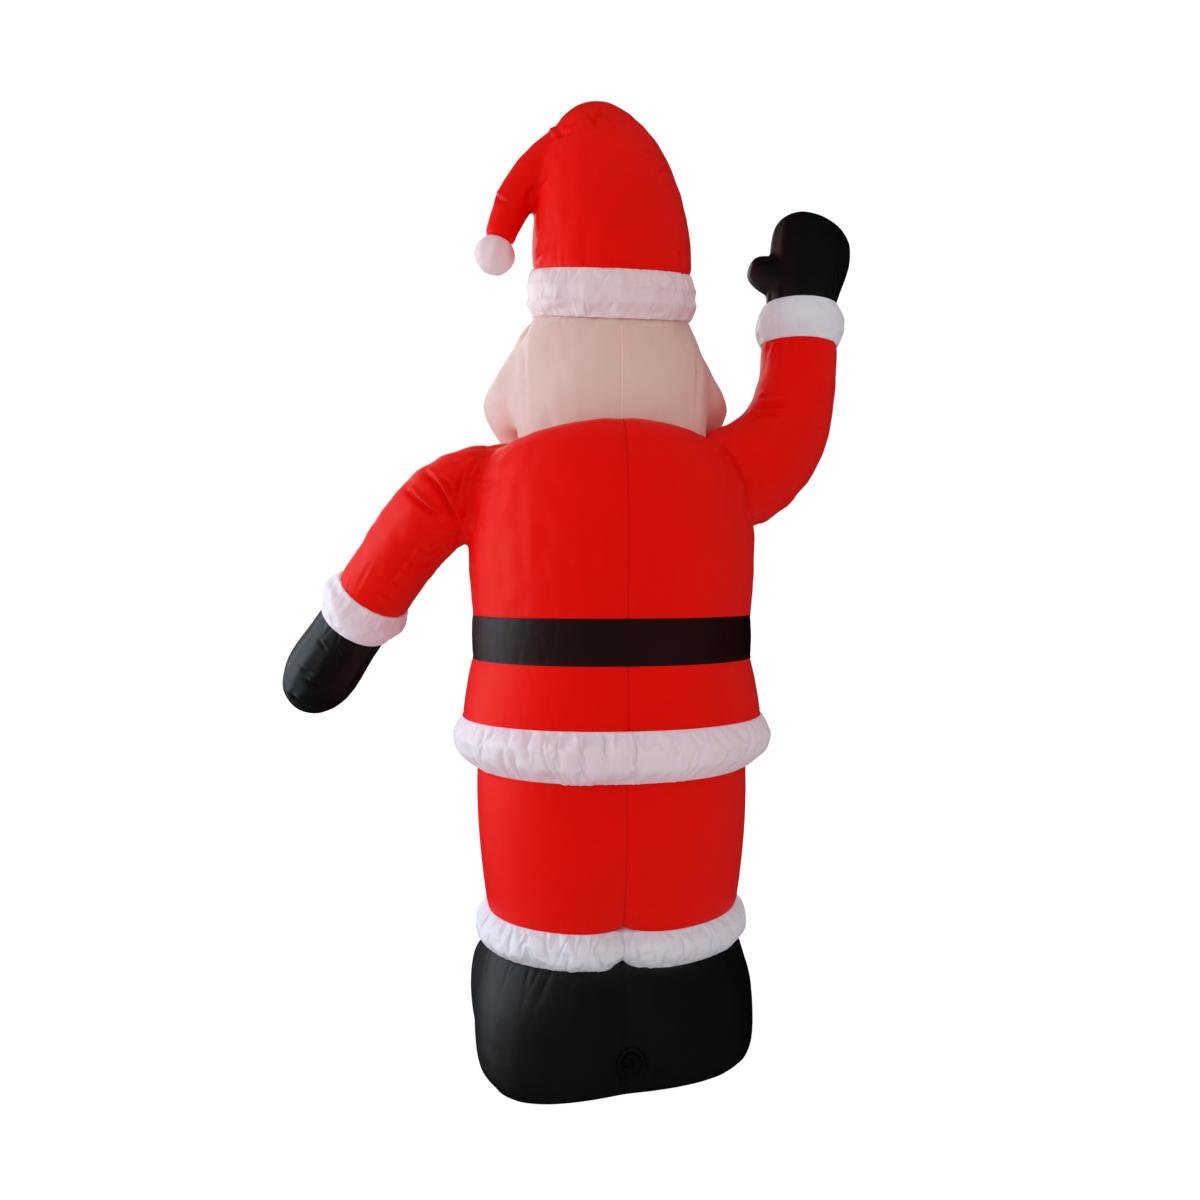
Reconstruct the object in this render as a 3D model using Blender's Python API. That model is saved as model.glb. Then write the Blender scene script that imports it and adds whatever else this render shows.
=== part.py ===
"""Inflatable garden santa, blown up and standing.

The figure faces -Y with +Z up, and the origin is the middle of the flat underside of its boots.
Its own left arm, on +X, hangs a little forward, and its right arm, on -X, is raised.
Each sewn section of cloth is one closed body, and neighbours keep a small seam gap.
"""

import math

import bmesh
import bpy
from mathutils import Vector

SEAM_GAP = 0.0003

# Heights of the sewn sections, from the ground up
BOOTS_HEIGHT = 0.272
TROUSER_TRIM_HEIGHT = 0.088
TROUSERS_HEIGHT = 0.352
COAT_TRIM_HEIGHT = 0.123
SKIRT_HEIGHT = 0.143
BELT_HEIGHT = 0.107
COAT_HEIGHT = 0.467
HEAD_HEIGHT = 0.288
HAT_TRIM_HEIGHT = 0.125
HAT_HEIGHT = 0.424

# Half width and half depth of the body at each seam
ANKLE = (0.322, 0.240)
TROUSER_FOOT = (0.316, 0.250)
TROUSER_TOP = (0.343, 0.283)
SKIRT_FOOT = (0.380, 0.310)
WAIST = (0.355, 0.300)
NECK = (0.262, 0.200)
HAT_SEAM = (0.204, 0.192)

# How far each section swells past the straight line between its seams
TROUSER_TRIM_BULGE = 0.024
TROUSERS_BULGE = 0.010
COAT_TRIM_BULGE = 0.040
SKIRT_BULGE = 0.003
BELT_BULGE = 0.002
COAT_BULGE = 0.012
HAT_TRIM_BULGE = 0.018
HEAD_BULGE = 0.014
# Below 1, a section swells sooner after its seam and stays full for longer
SWELL_POWER = 0.7

# Shoulders: how late they start to close in, and how bluntly
SHOULDER_START = 3.4
SHOULDER_BLUNTNESS = 0.48
# The neckline hangs this much lower at the sides than in the middle of the back
NECK_DROOP = 0.045
NECK_DROOP_RISE = 8.0
# Its opening is closed by inner rings of these sizes, so that its saddle shape holds throughout
NECK_CLOSING = (0.55, 0.05)

# The white bands are gathered on their seams into this many small waves
BODY_TRIM_GATHERS = 24
HAT_TRIM_GATHERS = 16
GATHER_DEPTH = 0.004
SIDES_PER_GATHER = 3

# The groove between the two trouser legs, at its deepest and its half width
LEG_GROOVE_DEPTH = 0.030
LEG_GROOVE_WIDTH = 0.050
# It fades out at this share of the trousers' height, and has this share of its depth at the sole
LEG_GROOVE_TOP = 0.62
SOLE_GROOVE_SHARE = 0.2

# Boots: half width, reach to the back and reach to the toes, at the flat sole and at the fullest
SOLE = (0.314, 0.262, 0.405)
BOOT = (0.348, 0.276, 0.450)
# The left heel stands this much further back than the right one
HEEL_SKEW = 0.040
TOE_SPREAD = 0.060
TOE_NOTCH_DEPTH = 0.140
TOE_NOTCH_WIDTH = 0.080
# Going up: share of the height, and how far the width, back and toes have swelled from the sole
SOLE_SWELL = ((0.00, 0.0, 0.0, 0.0), (0.07, 0.7, 0.6, 0.6), (0.28, 1.0, 1.0, 1.0))
# And then how far they still stand out past the ankle; the toes end first
ANKLE_SWELL = ((0.61, 1.0, 1.0, 0.75), (0.82, 0.5, 0.6, 0.15), (1.00, 0.0, 0.0, 0.0))

# Air port in the back of the boots, drawn shut to a shallow hollow
PORT_RADIUS = 0.030
PORT_DEPTH = 0.012
PORT_PLACE = -0.012
PORT_HEIGHT = 0.068

# Belt buckle: a square frame on the front of the belt
BUCKLE_WIDTH = 0.190
BUCKLE_HEIGHT = 0.150
BUCKLE_BAR = 0.030
BUCKLE_THICKNESS = 0.014

# Head: the hat sits lower at the back, and the face is the part in front of a plane
HAT_SLOPE = math.tan(math.radians(16.0))
FACE_PLANE = -0.040
CHIN_HALF_WIDTH = 0.236
CHIN_HALF_DEPTH = 0.190

# The beard ends this far below the hat
BEARD_TOP_GAP = 0.005
# Beard, from its tip on the chest up to the hat: height from the neck seam, half width,
# and how far forward and back it reaches
BEARD = (
    (-0.250, 0.060, 0.322, -0.285),
    (-0.205, 0.140, 0.344, -0.240),
    (-0.120, 0.212, 0.350, -0.170),
    (-0.030, 0.268, 0.336, -0.040),
    (0.030, 0.314, 0.318, 0.035),
    (0.085, 0.341, 0.298, 0.055),
    (0.135, 0.310, 0.280, 0.060),
    (0.210, 0.256, 0.252, 0.050),
    (HEAD_HEIGHT - BEARD_TOP_GAP, 0.212, 0.218, 0.020),
)
FACE_WINDOW_HALF_WIDTH = 0.135
FACE_WINDOW_HALF_HEIGHT = 0.125
FACE_WINDOW_HEIGHT = 0.250

# Nose and moustache, with their heights above the neck seam
NOSE_RADIUS = 0.040
NOSE_HEIGHT = 0.205
# The nose is set this share of its radius in front of the face
NOSE_PROUD = 0.4
MOUSTACHE_HALF_WIDTH = 0.135
MOUSTACHE_HEIGHT = 0.156
MOUSTACHE_DROOP = 0.026
MOUSTACHE_RADIUS = 0.036
MOUSTACHE_REACH = 0.272
# How far its ends wrap back round the face, and its thickness from end to end
MOUSTACHE_WRAP = 0.35
MOUSTACHE_OUTLINE = (0.25, 0.80, 1.00, 0.60, 1.00, 0.80, 0.25)

# Hat: a blunt cone that leans over into a hanging tail with a ball on its end
HAT_LEAN = 0.045
HAT_TOP_START = 2.25
HAT_TOP_BLUNTNESS = 0.50
# Its topmost ring lies at this share of its height, and rings crowd towards the top
HAT_LAST_RING = 0.985
HAT_RING_CROWDING = 1.6
# Middle of the tail: distance to the left, and height above the hat's lower seam
TAIL_PATH = ((0.064, 0.300), (0.132, 0.292), (0.207, 0.229), (0.260, 0.151), (0.288, 0.069))
TAIL_ROOT_RADIUS = 0.072
TAIL_END_RADIUS = 0.037
POMPOM_RADIUS = 0.050
POMPOM_OVERLAP = 0.010
POMPOM_GATHERS = 8
POMPOM_WAVE = 0.06

# Arms: the middle of each sleeve, with heights from the neck seam, and its radius
LEFT_ARM = (
    (0.200, 0.000, -0.140, 0.108),
    (0.335, 0.000, -0.156, 0.117),
    (0.428, -0.012, -0.194, 0.111),
    (0.502, -0.050, -0.260, 0.102),
    (0.559, -0.090, -0.334, 0.098),
    (0.616, -0.130, -0.413, 0.098),
)
RIGHT_ARM = (
    (-0.180, 0.000, -0.152, 0.120),
    (-0.300, 0.000, -0.122, 0.138),
    (-0.385, 0.000, -0.077, 0.134),
    (-0.450, 0.000, -0.002, 0.119),
    (-0.482, 0.000, 0.088, 0.106),
    (-0.494, 0.000, 0.168, 0.099),
    (-0.498, 0.000, 0.238, 0.098),
)
CUFF_LENGTH = 0.104
CUFF_BULGE = 0.020

# Mittens, each with its length, its fullness beyond the cuff and its lean away from the thumb
MITTEN_FLATNESS = 0.80
RAISED_MITTEN = (0.247, 1.03, 0.018)
LOWERED_MITTEN = (0.316, 0.94, 0.0)
# It reaches that fullness at this share of its length
MITTEN_FULL_AT = 0.25
# Share of the length, half width, and share of the lean
MITTEN_OUTLINE = (
    (0.00, 0.094, 0.00),
    (0.20, 0.100, 0.35),
    (0.45, 0.107, 1.00),
    (0.65, 0.105, 1.10),
    (0.82, 0.088, 0.55),
    (0.93, 0.060, 0.00),
    (1.00, 0.020, -0.35),
)
# Thumb: distances along the mitten and out from its middle, and radius, from root to tip
THUMB = ((0.062, 0.030, 0.052), (0.078, 0.088, 0.050), (0.090, 0.128, 0.036), (0.094, 0.142, 0.020))

# How finely the round forms are divided
BODY_SIDES = 36
BODY_FULLNESS = 2.15
BOOT_FULLNESS = 3.8
HEAD_SIDES = 24
BEARD_SIDES = 20
BOOT_SIDES = 36
ARM_SIDES = 16
MITTEN_SIDES = 12
CUFF_SIDES = 24
THUMB_SIDES = 10
TAIL_SIDES = 12
MOUSTACHE_SIDES = 10
PORT_SIDES = 12
WINDOW_SIDES = 20
NOSE_SIDES = 12
BAND_STEPS = 3
SHARP_ANGLE = math.radians(50.0)

HALF_TURN = math.pi
FULL_TURN = 2.0 * math.pi
FRONT_TO_BACK = Vector((0.0, 1.0, 0.0))
LEFT_TO_RIGHT = Vector((-1.0, 0.0, 0.0))

# Seam heights, added up from the ground
ANKLE_Z = BOOTS_HEIGHT
TROUSER_FOOT_Z = ANKLE_Z + TROUSER_TRIM_HEIGHT
TROUSER_TOP_Z = TROUSER_FOOT_Z + TROUSERS_HEIGHT
SKIRT_FOOT_Z = TROUSER_TOP_Z + COAT_TRIM_HEIGHT
BELT_LOW_Z = SKIRT_FOOT_Z + SKIRT_HEIGHT
BELT_HIGH_Z = BELT_LOW_Z + BELT_HEIGHT
NECK_Z = BELT_HIGH_Z + COAT_HEIGHT
HAT_TRIM_LOW_Z = NECK_Z + HEAD_HEIGHT
HAT_TRIM_HIGH_Z = HAT_TRIM_LOW_Z + HAT_TRIM_HEIGHT


def clear_scene():
    for item in list(bpy.data.objects):
        bpy.data.objects.remove(item, do_unlink=True)


def new_collection(name):
    collection = bpy.data.collections.new(name)
    bpy.context.scene.collection.children.link(collection)
    return collection


def cloth(name, colour, roughness):
    material = bpy.data.materials.new(name)
    material.use_nodes = True
    shader = material.node_tree.nodes["Principled BSDF"]
    shader.inputs["Base Color"].default_value = (*colour, 1.0)
    shader.inputs["Roughness"].default_value = roughness
    shader.inputs["Metallic"].default_value = 0.0
    return material


clear_scene()
SANTA = new_collection("inflatable_santa")
CUTTERS = new_collection("cutters")
RED = cloth("red_nylon", (0.70, 0.02, 0.01), 0.45)
WHITE = cloth("white_nylon", (0.80, 0.78, 0.78), 0.55)
BLACK = cloth("black_nylon", (0.010, 0.010, 0.012), 0.45)
SKIN = cloth("skin_nylon", (0.80, 0.47, 0.34), 0.50)
GOLD = cloth("gold_nylon", (0.72, 0.46, 0.08), 0.35)


def blend(start, end, share):
    return start + (end - start) * share


def swell(share):
    """Rise quickly from a seam, stay full across the band and fall to the next seam."""
    return math.sin(HALF_TURN * share) ** SWELL_POWER


def oval(half_width, half_depth, sides, fullness=2.0):
    """Points round an oval, anticlockwise from +X; more fullness squares its corners."""
    points = []
    for index in range(sides):
        angle = FULL_TURN * index / sides
        across = abs(math.cos(angle) / half_width) ** fullness
        along = abs(math.sin(angle) / half_depth) ** fullness
        reach = (across + along) ** (-1.0 / fullness)
        points.append((reach * math.cos(angle), reach * math.sin(angle)))
    return points


def smooth_stations(stations, steps):
    """Run a smooth curve through every station, with this many steps between two."""
    last = len(stations) - 1
    fine = []
    for index in range(last):
        before = stations[max(index - 1, 0)]
        start = stations[index]
        end = stations[index + 1]
        after = stations[min(index + 2, last)]
        for step in range(steps):
            share = step / steps
            fine.append(tuple(
                0.5 * (2 * b + (c - a) * share + (2 * a - 5 * b + 4 * c - d) * share ** 2
                       + (3 * b - a - 3 * c + d) * share ** 3)
                for a, b, c, d in zip(before, start, end, after)
            ))
    fine.append(tuple(stations[last]))
    return fine


def add_object(name, mesh, material, collection):
    mesh.materials.append(material)
    item = bpy.data.objects.new(name, mesh)
    collection.objects.link(item)
    if collection == CUTTERS:
        item.hide_render = True
        item.display_type = "WIRE"
    return item


def skin_rings(name, rings, material=RED, collection=SANTA):
    """Close a body over rings of points, each end with one flat face.

    Every quad is halved the same way, so that a body and its grown cutter stay parallel.
    """
    shape = bmesh.new()
    loops = [[shape.verts.new(point) for point in ring] for ring in rings]
    count = len(loops[0])
    for lower, upper in zip(loops, loops[1:]):
        for index in range(count):
            following = (index + 1) % count
            shape.faces.new((lower[index], lower[following], upper[following]))
            shape.faces.new((lower[index], upper[following], upper[index]))
    shape.faces.new(loops[0])
    shape.faces.new(loops[-1])
    return finish_shape(name, shape, material, collection)


def finish_shape(name, shape, material, collection):
    bmesh.ops.recalc_face_normals(shape, faces=shape.faces)
    mesh = bpy.data.meshes.new(name)
    shape.to_mesh(mesh)
    shape.free()
    mesh.shade_smooth()
    mesh.set_sharp_from_angle(angle=SHARP_ANGLE)
    return add_object(name, mesh, material, collection)


def skin_cutter(name, rings):
    return skin_rings(name, rings, RED, CUTTERS)


def combine(target, operation, *others):
    for other in others:
        modifier = target.modifiers.new(other.name, "BOOLEAN")
        modifier.operation = operation
        modifier.object = other
        modifier.solver = "EXACT"


def cut_away(item, height, direction):
    """Drop what lies on one side of an upright plane across the body, and close the cut."""
    shape = bmesh.new()
    shape.from_mesh(item.data)
    everything = list(shape.verts) + list(shape.edges) + list(shape.faces)
    cut = bmesh.ops.bisect_plane(
        shape, geom=everything, plane_co=(0.0, height, 0.0),
        plane_no=(0.0, direction, 0.0), clear_outer=True,
    )
    rim = [edge for edge in cut["geom_cut"] if isinstance(edge, bmesh.types.BMEdge)]
    bmesh.ops.holes_fill(shape, edges=rim)
    bmesh.ops.recalc_face_normals(shape, faces=shape.faces)
    shape.to_mesh(item.data)
    shape.free()


def body_ring(height, half_width, half_depth, sides=BODY_SIDES, slope=0.0,
              gathers=0, groove=0.0, middle=0.0):
    """A level ring of the body, or one that drops towards the back by its slope."""
    ring = []
    for x, y in oval(half_width, half_depth, sides, BODY_FULLNESS):
        wave = 1.0
        if gathers:
            wave += GATHER_DEPTH * math.cos(gathers * math.atan2(y, x)) / half_width
        dent = groove * math.exp(-((x / LEG_GROOVE_WIDTH) ** 2))
        y -= math.copysign(dent, y)
        x *= wave
        y *= wave
        ring.append(Vector((x + middle, y, height - slope * y)))
    return ring


def section_rings(low, high, foot, top, bulge, steps, slope=0.0, gathers=0, groove=None,
                  grow=0.0):
    """Rings of a sewn section, which swells between its lower and its upper seam."""
    sides = SIDES_PER_GATHER * gathers if gathers else BODY_SIDES
    rings = []
    for step in range(steps + 1):
        share = step / steps
        swollen = bulge * swell(share) + grow
        rings.append(body_ring(
            blend(low + SEAM_GAP, high, share),
            blend(foot[0], top[0], share) + swollen,
            blend(foot[1], top[1], share) + swollen,
            sides,
            slope=slope,
            gathers=gathers,
            groove=groove(share) if groove else 0.0,
        ))
    return rings


def skirt_rings(grow=0.0):
    return section_rings(SKIRT_FOOT_Z, BELT_LOW_Z, SKIRT_FOOT, WAIST, SKIRT_BULGE, 3, grow=grow)


def belt_rings(grow=0.0):
    return section_rings(BELT_LOW_Z, BELT_HIGH_Z, WAIST, WAIST, BELT_BULGE, 2, grow=grow)


def droop_at_sides(ring, droop):
    """Let a ring hang lower towards the arms, like the neckline of the coat."""
    return [point - Vector((0.0, 0.0, droop * (point.x / NECK[0]) ** 2)) for point in ring]


def coat_rings(grow=0.0):
    """The upper body: full at the chest, with round shoulders that close in to the neck."""
    steps = 7
    rings = []
    for step in range(steps + 1):
        share = math.sin(0.5 * HALF_TURN * step / steps)
        shoulder = max(0.0, 1.0 - share ** SHOULDER_START) ** SHOULDER_BLUNTNESS
        chest = COAT_BULGE * math.sin(HALF_TURN * share) + grow
        ring = body_ring(
            blend(BELT_HIGH_Z + SEAM_GAP, NECK_Z + grow, share),
            blend(NECK[0], WAIST[0], shoulder) + chest,
            blend(NECK[1], WAIST[1], shoulder) + chest,
        )
        rings.append(droop_at_sides(ring, NECK_DROOP * share ** NECK_DROOP_RISE))
    for size in NECK_CLOSING:
        ring = body_ring(NECK_Z + grow, NECK[0] * size, NECK[1] * size)
        rings.append(droop_at_sides(ring, NECK_DROOP))
    return rings


def leg_groove(share):
    """The dent between the legs, which fades out towards the coat."""
    return LEG_GROOVE_DEPTH * max(0.0, 1.0 - share / LEG_GROOVE_TOP) ** 1.5


def full_groove(share):
    return LEG_GROOVE_DEPTH


def build_body():
    """The stack of sections from the ankles to the neck."""
    skin_rings("trouser_trim", section_rings(
        ANKLE_Z, TROUSER_FOOT_Z, ANKLE, TROUSER_FOOT, TROUSER_TRIM_BULGE, BAND_STEPS,
        gathers=BODY_TRIM_GATHERS, groove=full_groove), WHITE)
    skin_rings("trousers", section_rings(
        TROUSER_FOOT_Z, TROUSER_TOP_Z, TROUSER_FOOT, TROUSER_TOP, TROUSERS_BULGE, 6,
        groove=leg_groove), RED)
    skin_rings("coat_trim", section_rings(
        TROUSER_TOP_Z, SKIRT_FOOT_Z, TROUSER_TOP, SKIRT_FOOT, COAT_TRIM_BULGE, BAND_STEPS,
        gathers=BODY_TRIM_GATHERS), WHITE)
    skin_rings("coat_skirt", skirt_rings(), RED)
    skin_rings("belt", belt_rings(), BLACK)
    skin_rings("coat", coat_rings(), RED)
    trunk = skirt_rings(SEAM_GAP)[:-1] + belt_rings(SEAM_GAP)[:-1] + coat_rings(SEAM_GAP)
    return skin_cutter("trunk_cutter", trunk)


def boot_dent(x, share):
    """Depth of the dent between the boots, front and back, at a share of their height."""
    return (blend(SOLE_GROOVE_SHARE, 1.0, share) * LEG_GROOVE_DEPTH
            * math.exp(-((x / LEG_GROOVE_WIDTH) ** 2)))


def build_boots():
    """A wide block on a flat sole, with two toes in front and a shut air port at the back."""
    ankle = (ANKLE[0], ANKLE[1], ANKLE[1])
    stations = [
        (share, *(blend(start[axis], BOOT[axis], swells[axis]) for axis in range(3)))
        for start, profile in ((SOLE, SOLE_SWELL), (ankle, ANKLE_SWELL))
        for share, *swells in profile
    ]
    toe_room = BOOT[2] - ANKLE[1]
    rings = []
    for share, half_width, back, toe in smooth_stations(stations, 2):
        skew = HEEL_SKEW * (1.0 - share)
        ring = []
        for x, y in oval(1.0, 1.0, BOOT_SIDES, blend(BOOT_FULLNESS, BODY_FULLNESS, share)):
            y *= back + skew * x if y > 0.0 else toe
            x *= half_width + TOE_SPREAD * max(0.0, -y / BOOT[2])
            reach = min(1.0, max(0.0, -y - ANKLE[1]) / toe_room)
            notch = TOE_NOTCH_DEPTH * reach * math.exp(-((x / TOE_NOTCH_WIDTH) ** 2))
            y += notch - math.copysign(boot_dent(x, share), y)
            ring.append(Vector((x, y, share * BOOTS_HEIGHT)))
        rings.append(ring)
    boots = skin_rings("boots", rings, BLACK)

    shape = bmesh.new()
    bmesh.ops.create_cone(
        shape, cap_ends=True, segments=PORT_SIDES, radius1=PORT_RADIUS, radius2=PORT_RADIUS,
        depth=2.0 * LEG_GROOVE_DEPTH,
    )
    cutter = finish_shape("port_cutter", shape, BLACK, CUTTERS)
    cutter.rotation_euler = (0.5 * HALF_TURN, 0.0, 0.0)
    skin_at_port = BOOT[1] - boot_dent(PORT_PLACE, PORT_HEIGHT / BOOTS_HEIGHT)
    cutter.location = (PORT_PLACE, skin_at_port - PORT_DEPTH + LEG_GROOVE_DEPTH, PORT_HEIGHT)
    combine(boots, "DIFFERENCE", cutter)


def build_buckle(trunk):
    """A square frame, bent round the front of the belt, with a window in its middle."""
    middle = 0.5 * (BELT_LOW_Z + BELT_HIGH_Z)
    low = middle - 0.5 * BUCKLE_HEIGHT
    high = middle + 0.5 * BUCKLE_HEIGHT
    steps = 8
    rings = []
    for step in range(steps + 1):
        x = blend(-0.5 * BUCKLE_WIDTH, 0.5 * BUCKLE_WIDTH, step / steps)
        fall = (1.0 - (abs(x) / WAIST[0]) ** BODY_FULLNESS) ** (1.0 / BODY_FULLNESS)
        near, far = ((WAIST[1] + away) * fall for away in (-BUCKLE_THICKNESS, BUCKLE_THICKNESS))
        corners = ((near, low), (far, low), (far, high), (near, high))
        rings.append([Vector((x, -depth, height)) for depth, height in corners])
    buckle = skin_rings("belt_buckle", rings, GOLD)

    shape = bmesh.new()
    bmesh.ops.create_cube(shape, size=1.0)
    window = finish_shape("buckle_window", shape, GOLD, CUTTERS)
    window.scale = (BUCKLE_WIDTH - 2.0 * BUCKLE_BAR, WAIST[1], BUCKLE_HEIGHT - 2.0 * BUCKLE_BAR)
    window.location = (0.0, -WAIST[1], middle)
    combine(buckle, "DIFFERENCE", window, trunk)


def square_ring(centre, direction, half_width, half_depth, sides):
    """An oval ring square to a direction; its depth runs front to back where it can."""
    along = direction.normalized()
    sideways = abs(along.dot(LEFT_TO_RIGHT)) + abs(along.z)
    reference = FRONT_TO_BACK if sideways > abs(along.y) else LEFT_TO_RIGHT
    side = along.cross(reference).normalized()
    depth = side.cross(along)
    return [centre + side * x + depth * y for x, y in oval(half_width, half_depth, sides)]


def tube_rings(path, sides, grow=0.0):
    """Round rings along a path of points that each end in the tube's radius there."""
    rings = []
    last = len(path) - 1
    for index, (x, y, z, radius) in enumerate(path):
        ahead = Vector(path[min(index + 1, last)][:3])
        behind = Vector(path[max(index - 1, 0)][:3])
        along = (ahead - behind).normalized()
        centre = Vector((x, y, z))
        if index == last:
            centre += along * grow
        rings.append(square_ring(centre, along, radius + grow, radius + grow, sides))
    return rings


def tube_end(path):
    end = Vector(path[-1][:3])
    return end, (end - Vector(path[-2][:3])).normalized()


def raised(stations, level):
    """Turn heights above a seam into heights above the ground."""
    return [(x, y, z + level, radius) for x, y, z, radius in stations]


def build_arm(side, stations, mitten_sizes, thumb_aim, *inner):
    """Sleeve, cuff and mitten, one after the other along the arm."""
    path = smooth_stations(raised(stations, NECK_Z), 2)
    sleeve = skin_rings(side + "_sleeve", tube_rings(path, ARM_SIDES), RED)
    combine(sleeve, "DIFFERENCE", *inner)
    end, along = tube_end(path)

    cuff = []
    for step in range(BAND_STEPS + 1):
        share = step / BAND_STEPS
        radius = blend(path[-1][3], MITTEN_OUTLINE[0][1], share) + CUFF_BULGE * swell(share)
        centre = end + along * blend(SEAM_GAP, CUFF_LENGTH, share)
        cuff.append(square_ring(centre, along, radius, radius, CUFF_SIDES))
    skin_rings(side + "_cuff", cuff, WHITE)

    wrist = end + along * (CUFF_LENGTH + SEAM_GAP)
    aim = (thumb_aim - along * thumb_aim.dot(along)).normalized()
    length, fullness, lean = mitten_sizes
    rings = []
    for share, half_width, drift in smooth_stations(MITTEN_OUTLINE, 2):
        centre = wrist + along * (length * share) - aim * (lean * drift)
        half_width *= blend(1.0, fullness, min(1.0, share / MITTEN_FULL_AT))
        rings.append(square_ring(centre, along, half_width, half_width * MITTEN_FLATNESS, MITTEN_SIDES))
    mitten = skin_rings(side + "_mitten", rings, BLACK)
    thumb = [
        (*(wrist + along * forward + aim * out), radius)
        for forward, out, radius in smooth_stations(THUMB, 2)
    ]
    thumb_body = skin_cutter(side + "_thumb", tube_rings(thumb, THUMB_SIDES))
    combine(mitten, "UNION", thumb_body)
    return skin_cutter(side + "_sleeve_cutter", tube_rings(path, ARM_SIDES, SEAM_GAP))


def head_rings(grow=0.0):
    """The head from inside the coat, which later cuts its foot to shape, up to the hat."""
    steps = 6
    rings = [body_ring(NECK_Z - 2.0 * NECK_DROOP, CHIN_HALF_WIDTH + grow, CHIN_HALF_DEPTH + grow,
                       HEAD_SIDES)]
    for step in range(steps + 1):
        share = step / steps
        full = HEAD_BULGE * math.sin(HALF_TURN * share) + grow
        rings.append(body_ring(
            blend(NECK_Z, HAT_TRIM_LOW_Z, share),
            blend(CHIN_HALF_WIDTH, HAT_SEAM[0], share) + full,
            blend(CHIN_HALF_DEPTH, HAT_SEAM[1], share) + full,
            HEAD_SIDES, slope=HAT_SLOPE * share,
        ))
    return rings


def moustache_path():
    path = []
    last = len(MOUSTACHE_OUTLINE) - 1
    for index, thickness in enumerate(MOUSTACHE_OUTLINE):
        across = 2.0 * index / last - 1.0
        droop = MOUSTACHE_DROOP * abs(across) ** 1.5
        path.append((
            across * MOUSTACHE_HALF_WIDTH,
            -MOUSTACHE_REACH * (1.0 - MOUSTACHE_WRAP * across ** 2 * MOUSTACHE_HALF_WIDTH / HAT_SEAM[0]),
            NECK_Z + MOUSTACHE_HEIGHT - droop,
            MOUSTACHE_RADIUS * thickness,
        ))
    return path


def upright_tube_rings(path, sides, grow=0.0):
    """Like tube_rings, for a path that runs from side to side."""
    rings = []
    for x, y, z, radius in path:
        rings.append([
            Vector((x, y + across, z + up)) for across, up in oval(radius + grow, radius + grow, sides)
        ])
    rings[0] = [point - Vector((grow, 0.0, 0.0)) for point in rings[0]]
    rings[-1] = [point + Vector((grow, 0.0, 0.0)) for point in rings[-1]]
    return rings


def build_head(trunk, head_cutter, sleeves):
    """Hair at the back, the face in front of it, and the beard, moustache and nose."""
    head = skin_rings("head", head_rings(), WHITE)
    cut_away(head, FACE_PLANE, -1.0)
    combine(head, "DIFFERENCE", trunk)
    face = skin_rings("face", head_rings(), SKIN)
    cut_away(face, FACE_PLANE - SEAM_GAP, 1.0)
    combine(face, "DIFFERENCE", trunk)

    fine = smooth_stations(moustache_path(), 2)
    moustache = skin_rings("moustache", upright_tube_rings(fine, MOUSTACHE_SIDES), WHITE)
    combine(moustache, "DIFFERENCE", head_cutter)
    moustache_cutter = skin_cutter("moustache_cutter", upright_tube_rings(fine, MOUSTACHE_SIDES, SEAM_GAP))

    rings = []
    top = BEARD[-1][0]
    for height, half_width, front, back in BEARD:
        slope = HAT_SLOPE * max(0.0, height / top) ** 3
        middle = 0.5 * (back - front)
        ring = []
        for x, y in oval(half_width, 0.5 * (front + back), BEARD_SIDES, BODY_FULLNESS):
            y += middle
            ring.append(Vector((x, y, NECK_Z + height - slope * y)))
        rings.append(ring)
    beard = skin_rings("beard", rings, WHITE)
    shape = bmesh.new()
    depth = 2.0 * max(front for height, half_width, front, back in BEARD)
    bmesh.ops.create_cone(
        shape, cap_ends=True, segments=WINDOW_SIDES, radius1=1.0, radius2=1.0, depth=depth)
    window = finish_shape("face_window", shape, SKIN, CUTTERS)
    window.rotation_euler = (0.5 * HALF_TURN, 0.0, 0.0)
    window.scale = (FACE_WINDOW_HALF_WIDTH, FACE_WINDOW_HALF_HEIGHT, 1.0)
    window.location = (0.0, FACE_PLANE - 0.5 * depth, NECK_Z + FACE_WINDOW_HEIGHT)
    combine(beard, "DIFFERENCE", head_cutter, trunk, window, moustache_cutter, *sleeves)

    shape = bmesh.new()
    bmesh.ops.create_uvsphere(
        shape, u_segments=NOSE_SIDES, v_segments=NOSE_SIDES // 2, radius=NOSE_RADIUS)
    nose = finish_shape("nose", shape, SKIN, SANTA)
    face_front = HAT_SEAM[1] + HEAD_BULGE
    nose.location = (0.0, -face_front - NOSE_PROUD * NOSE_RADIUS, NECK_Z + NOSE_HEIGHT)
    combine(nose, "DIFFERENCE", head_cutter, moustache_cutter)


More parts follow.
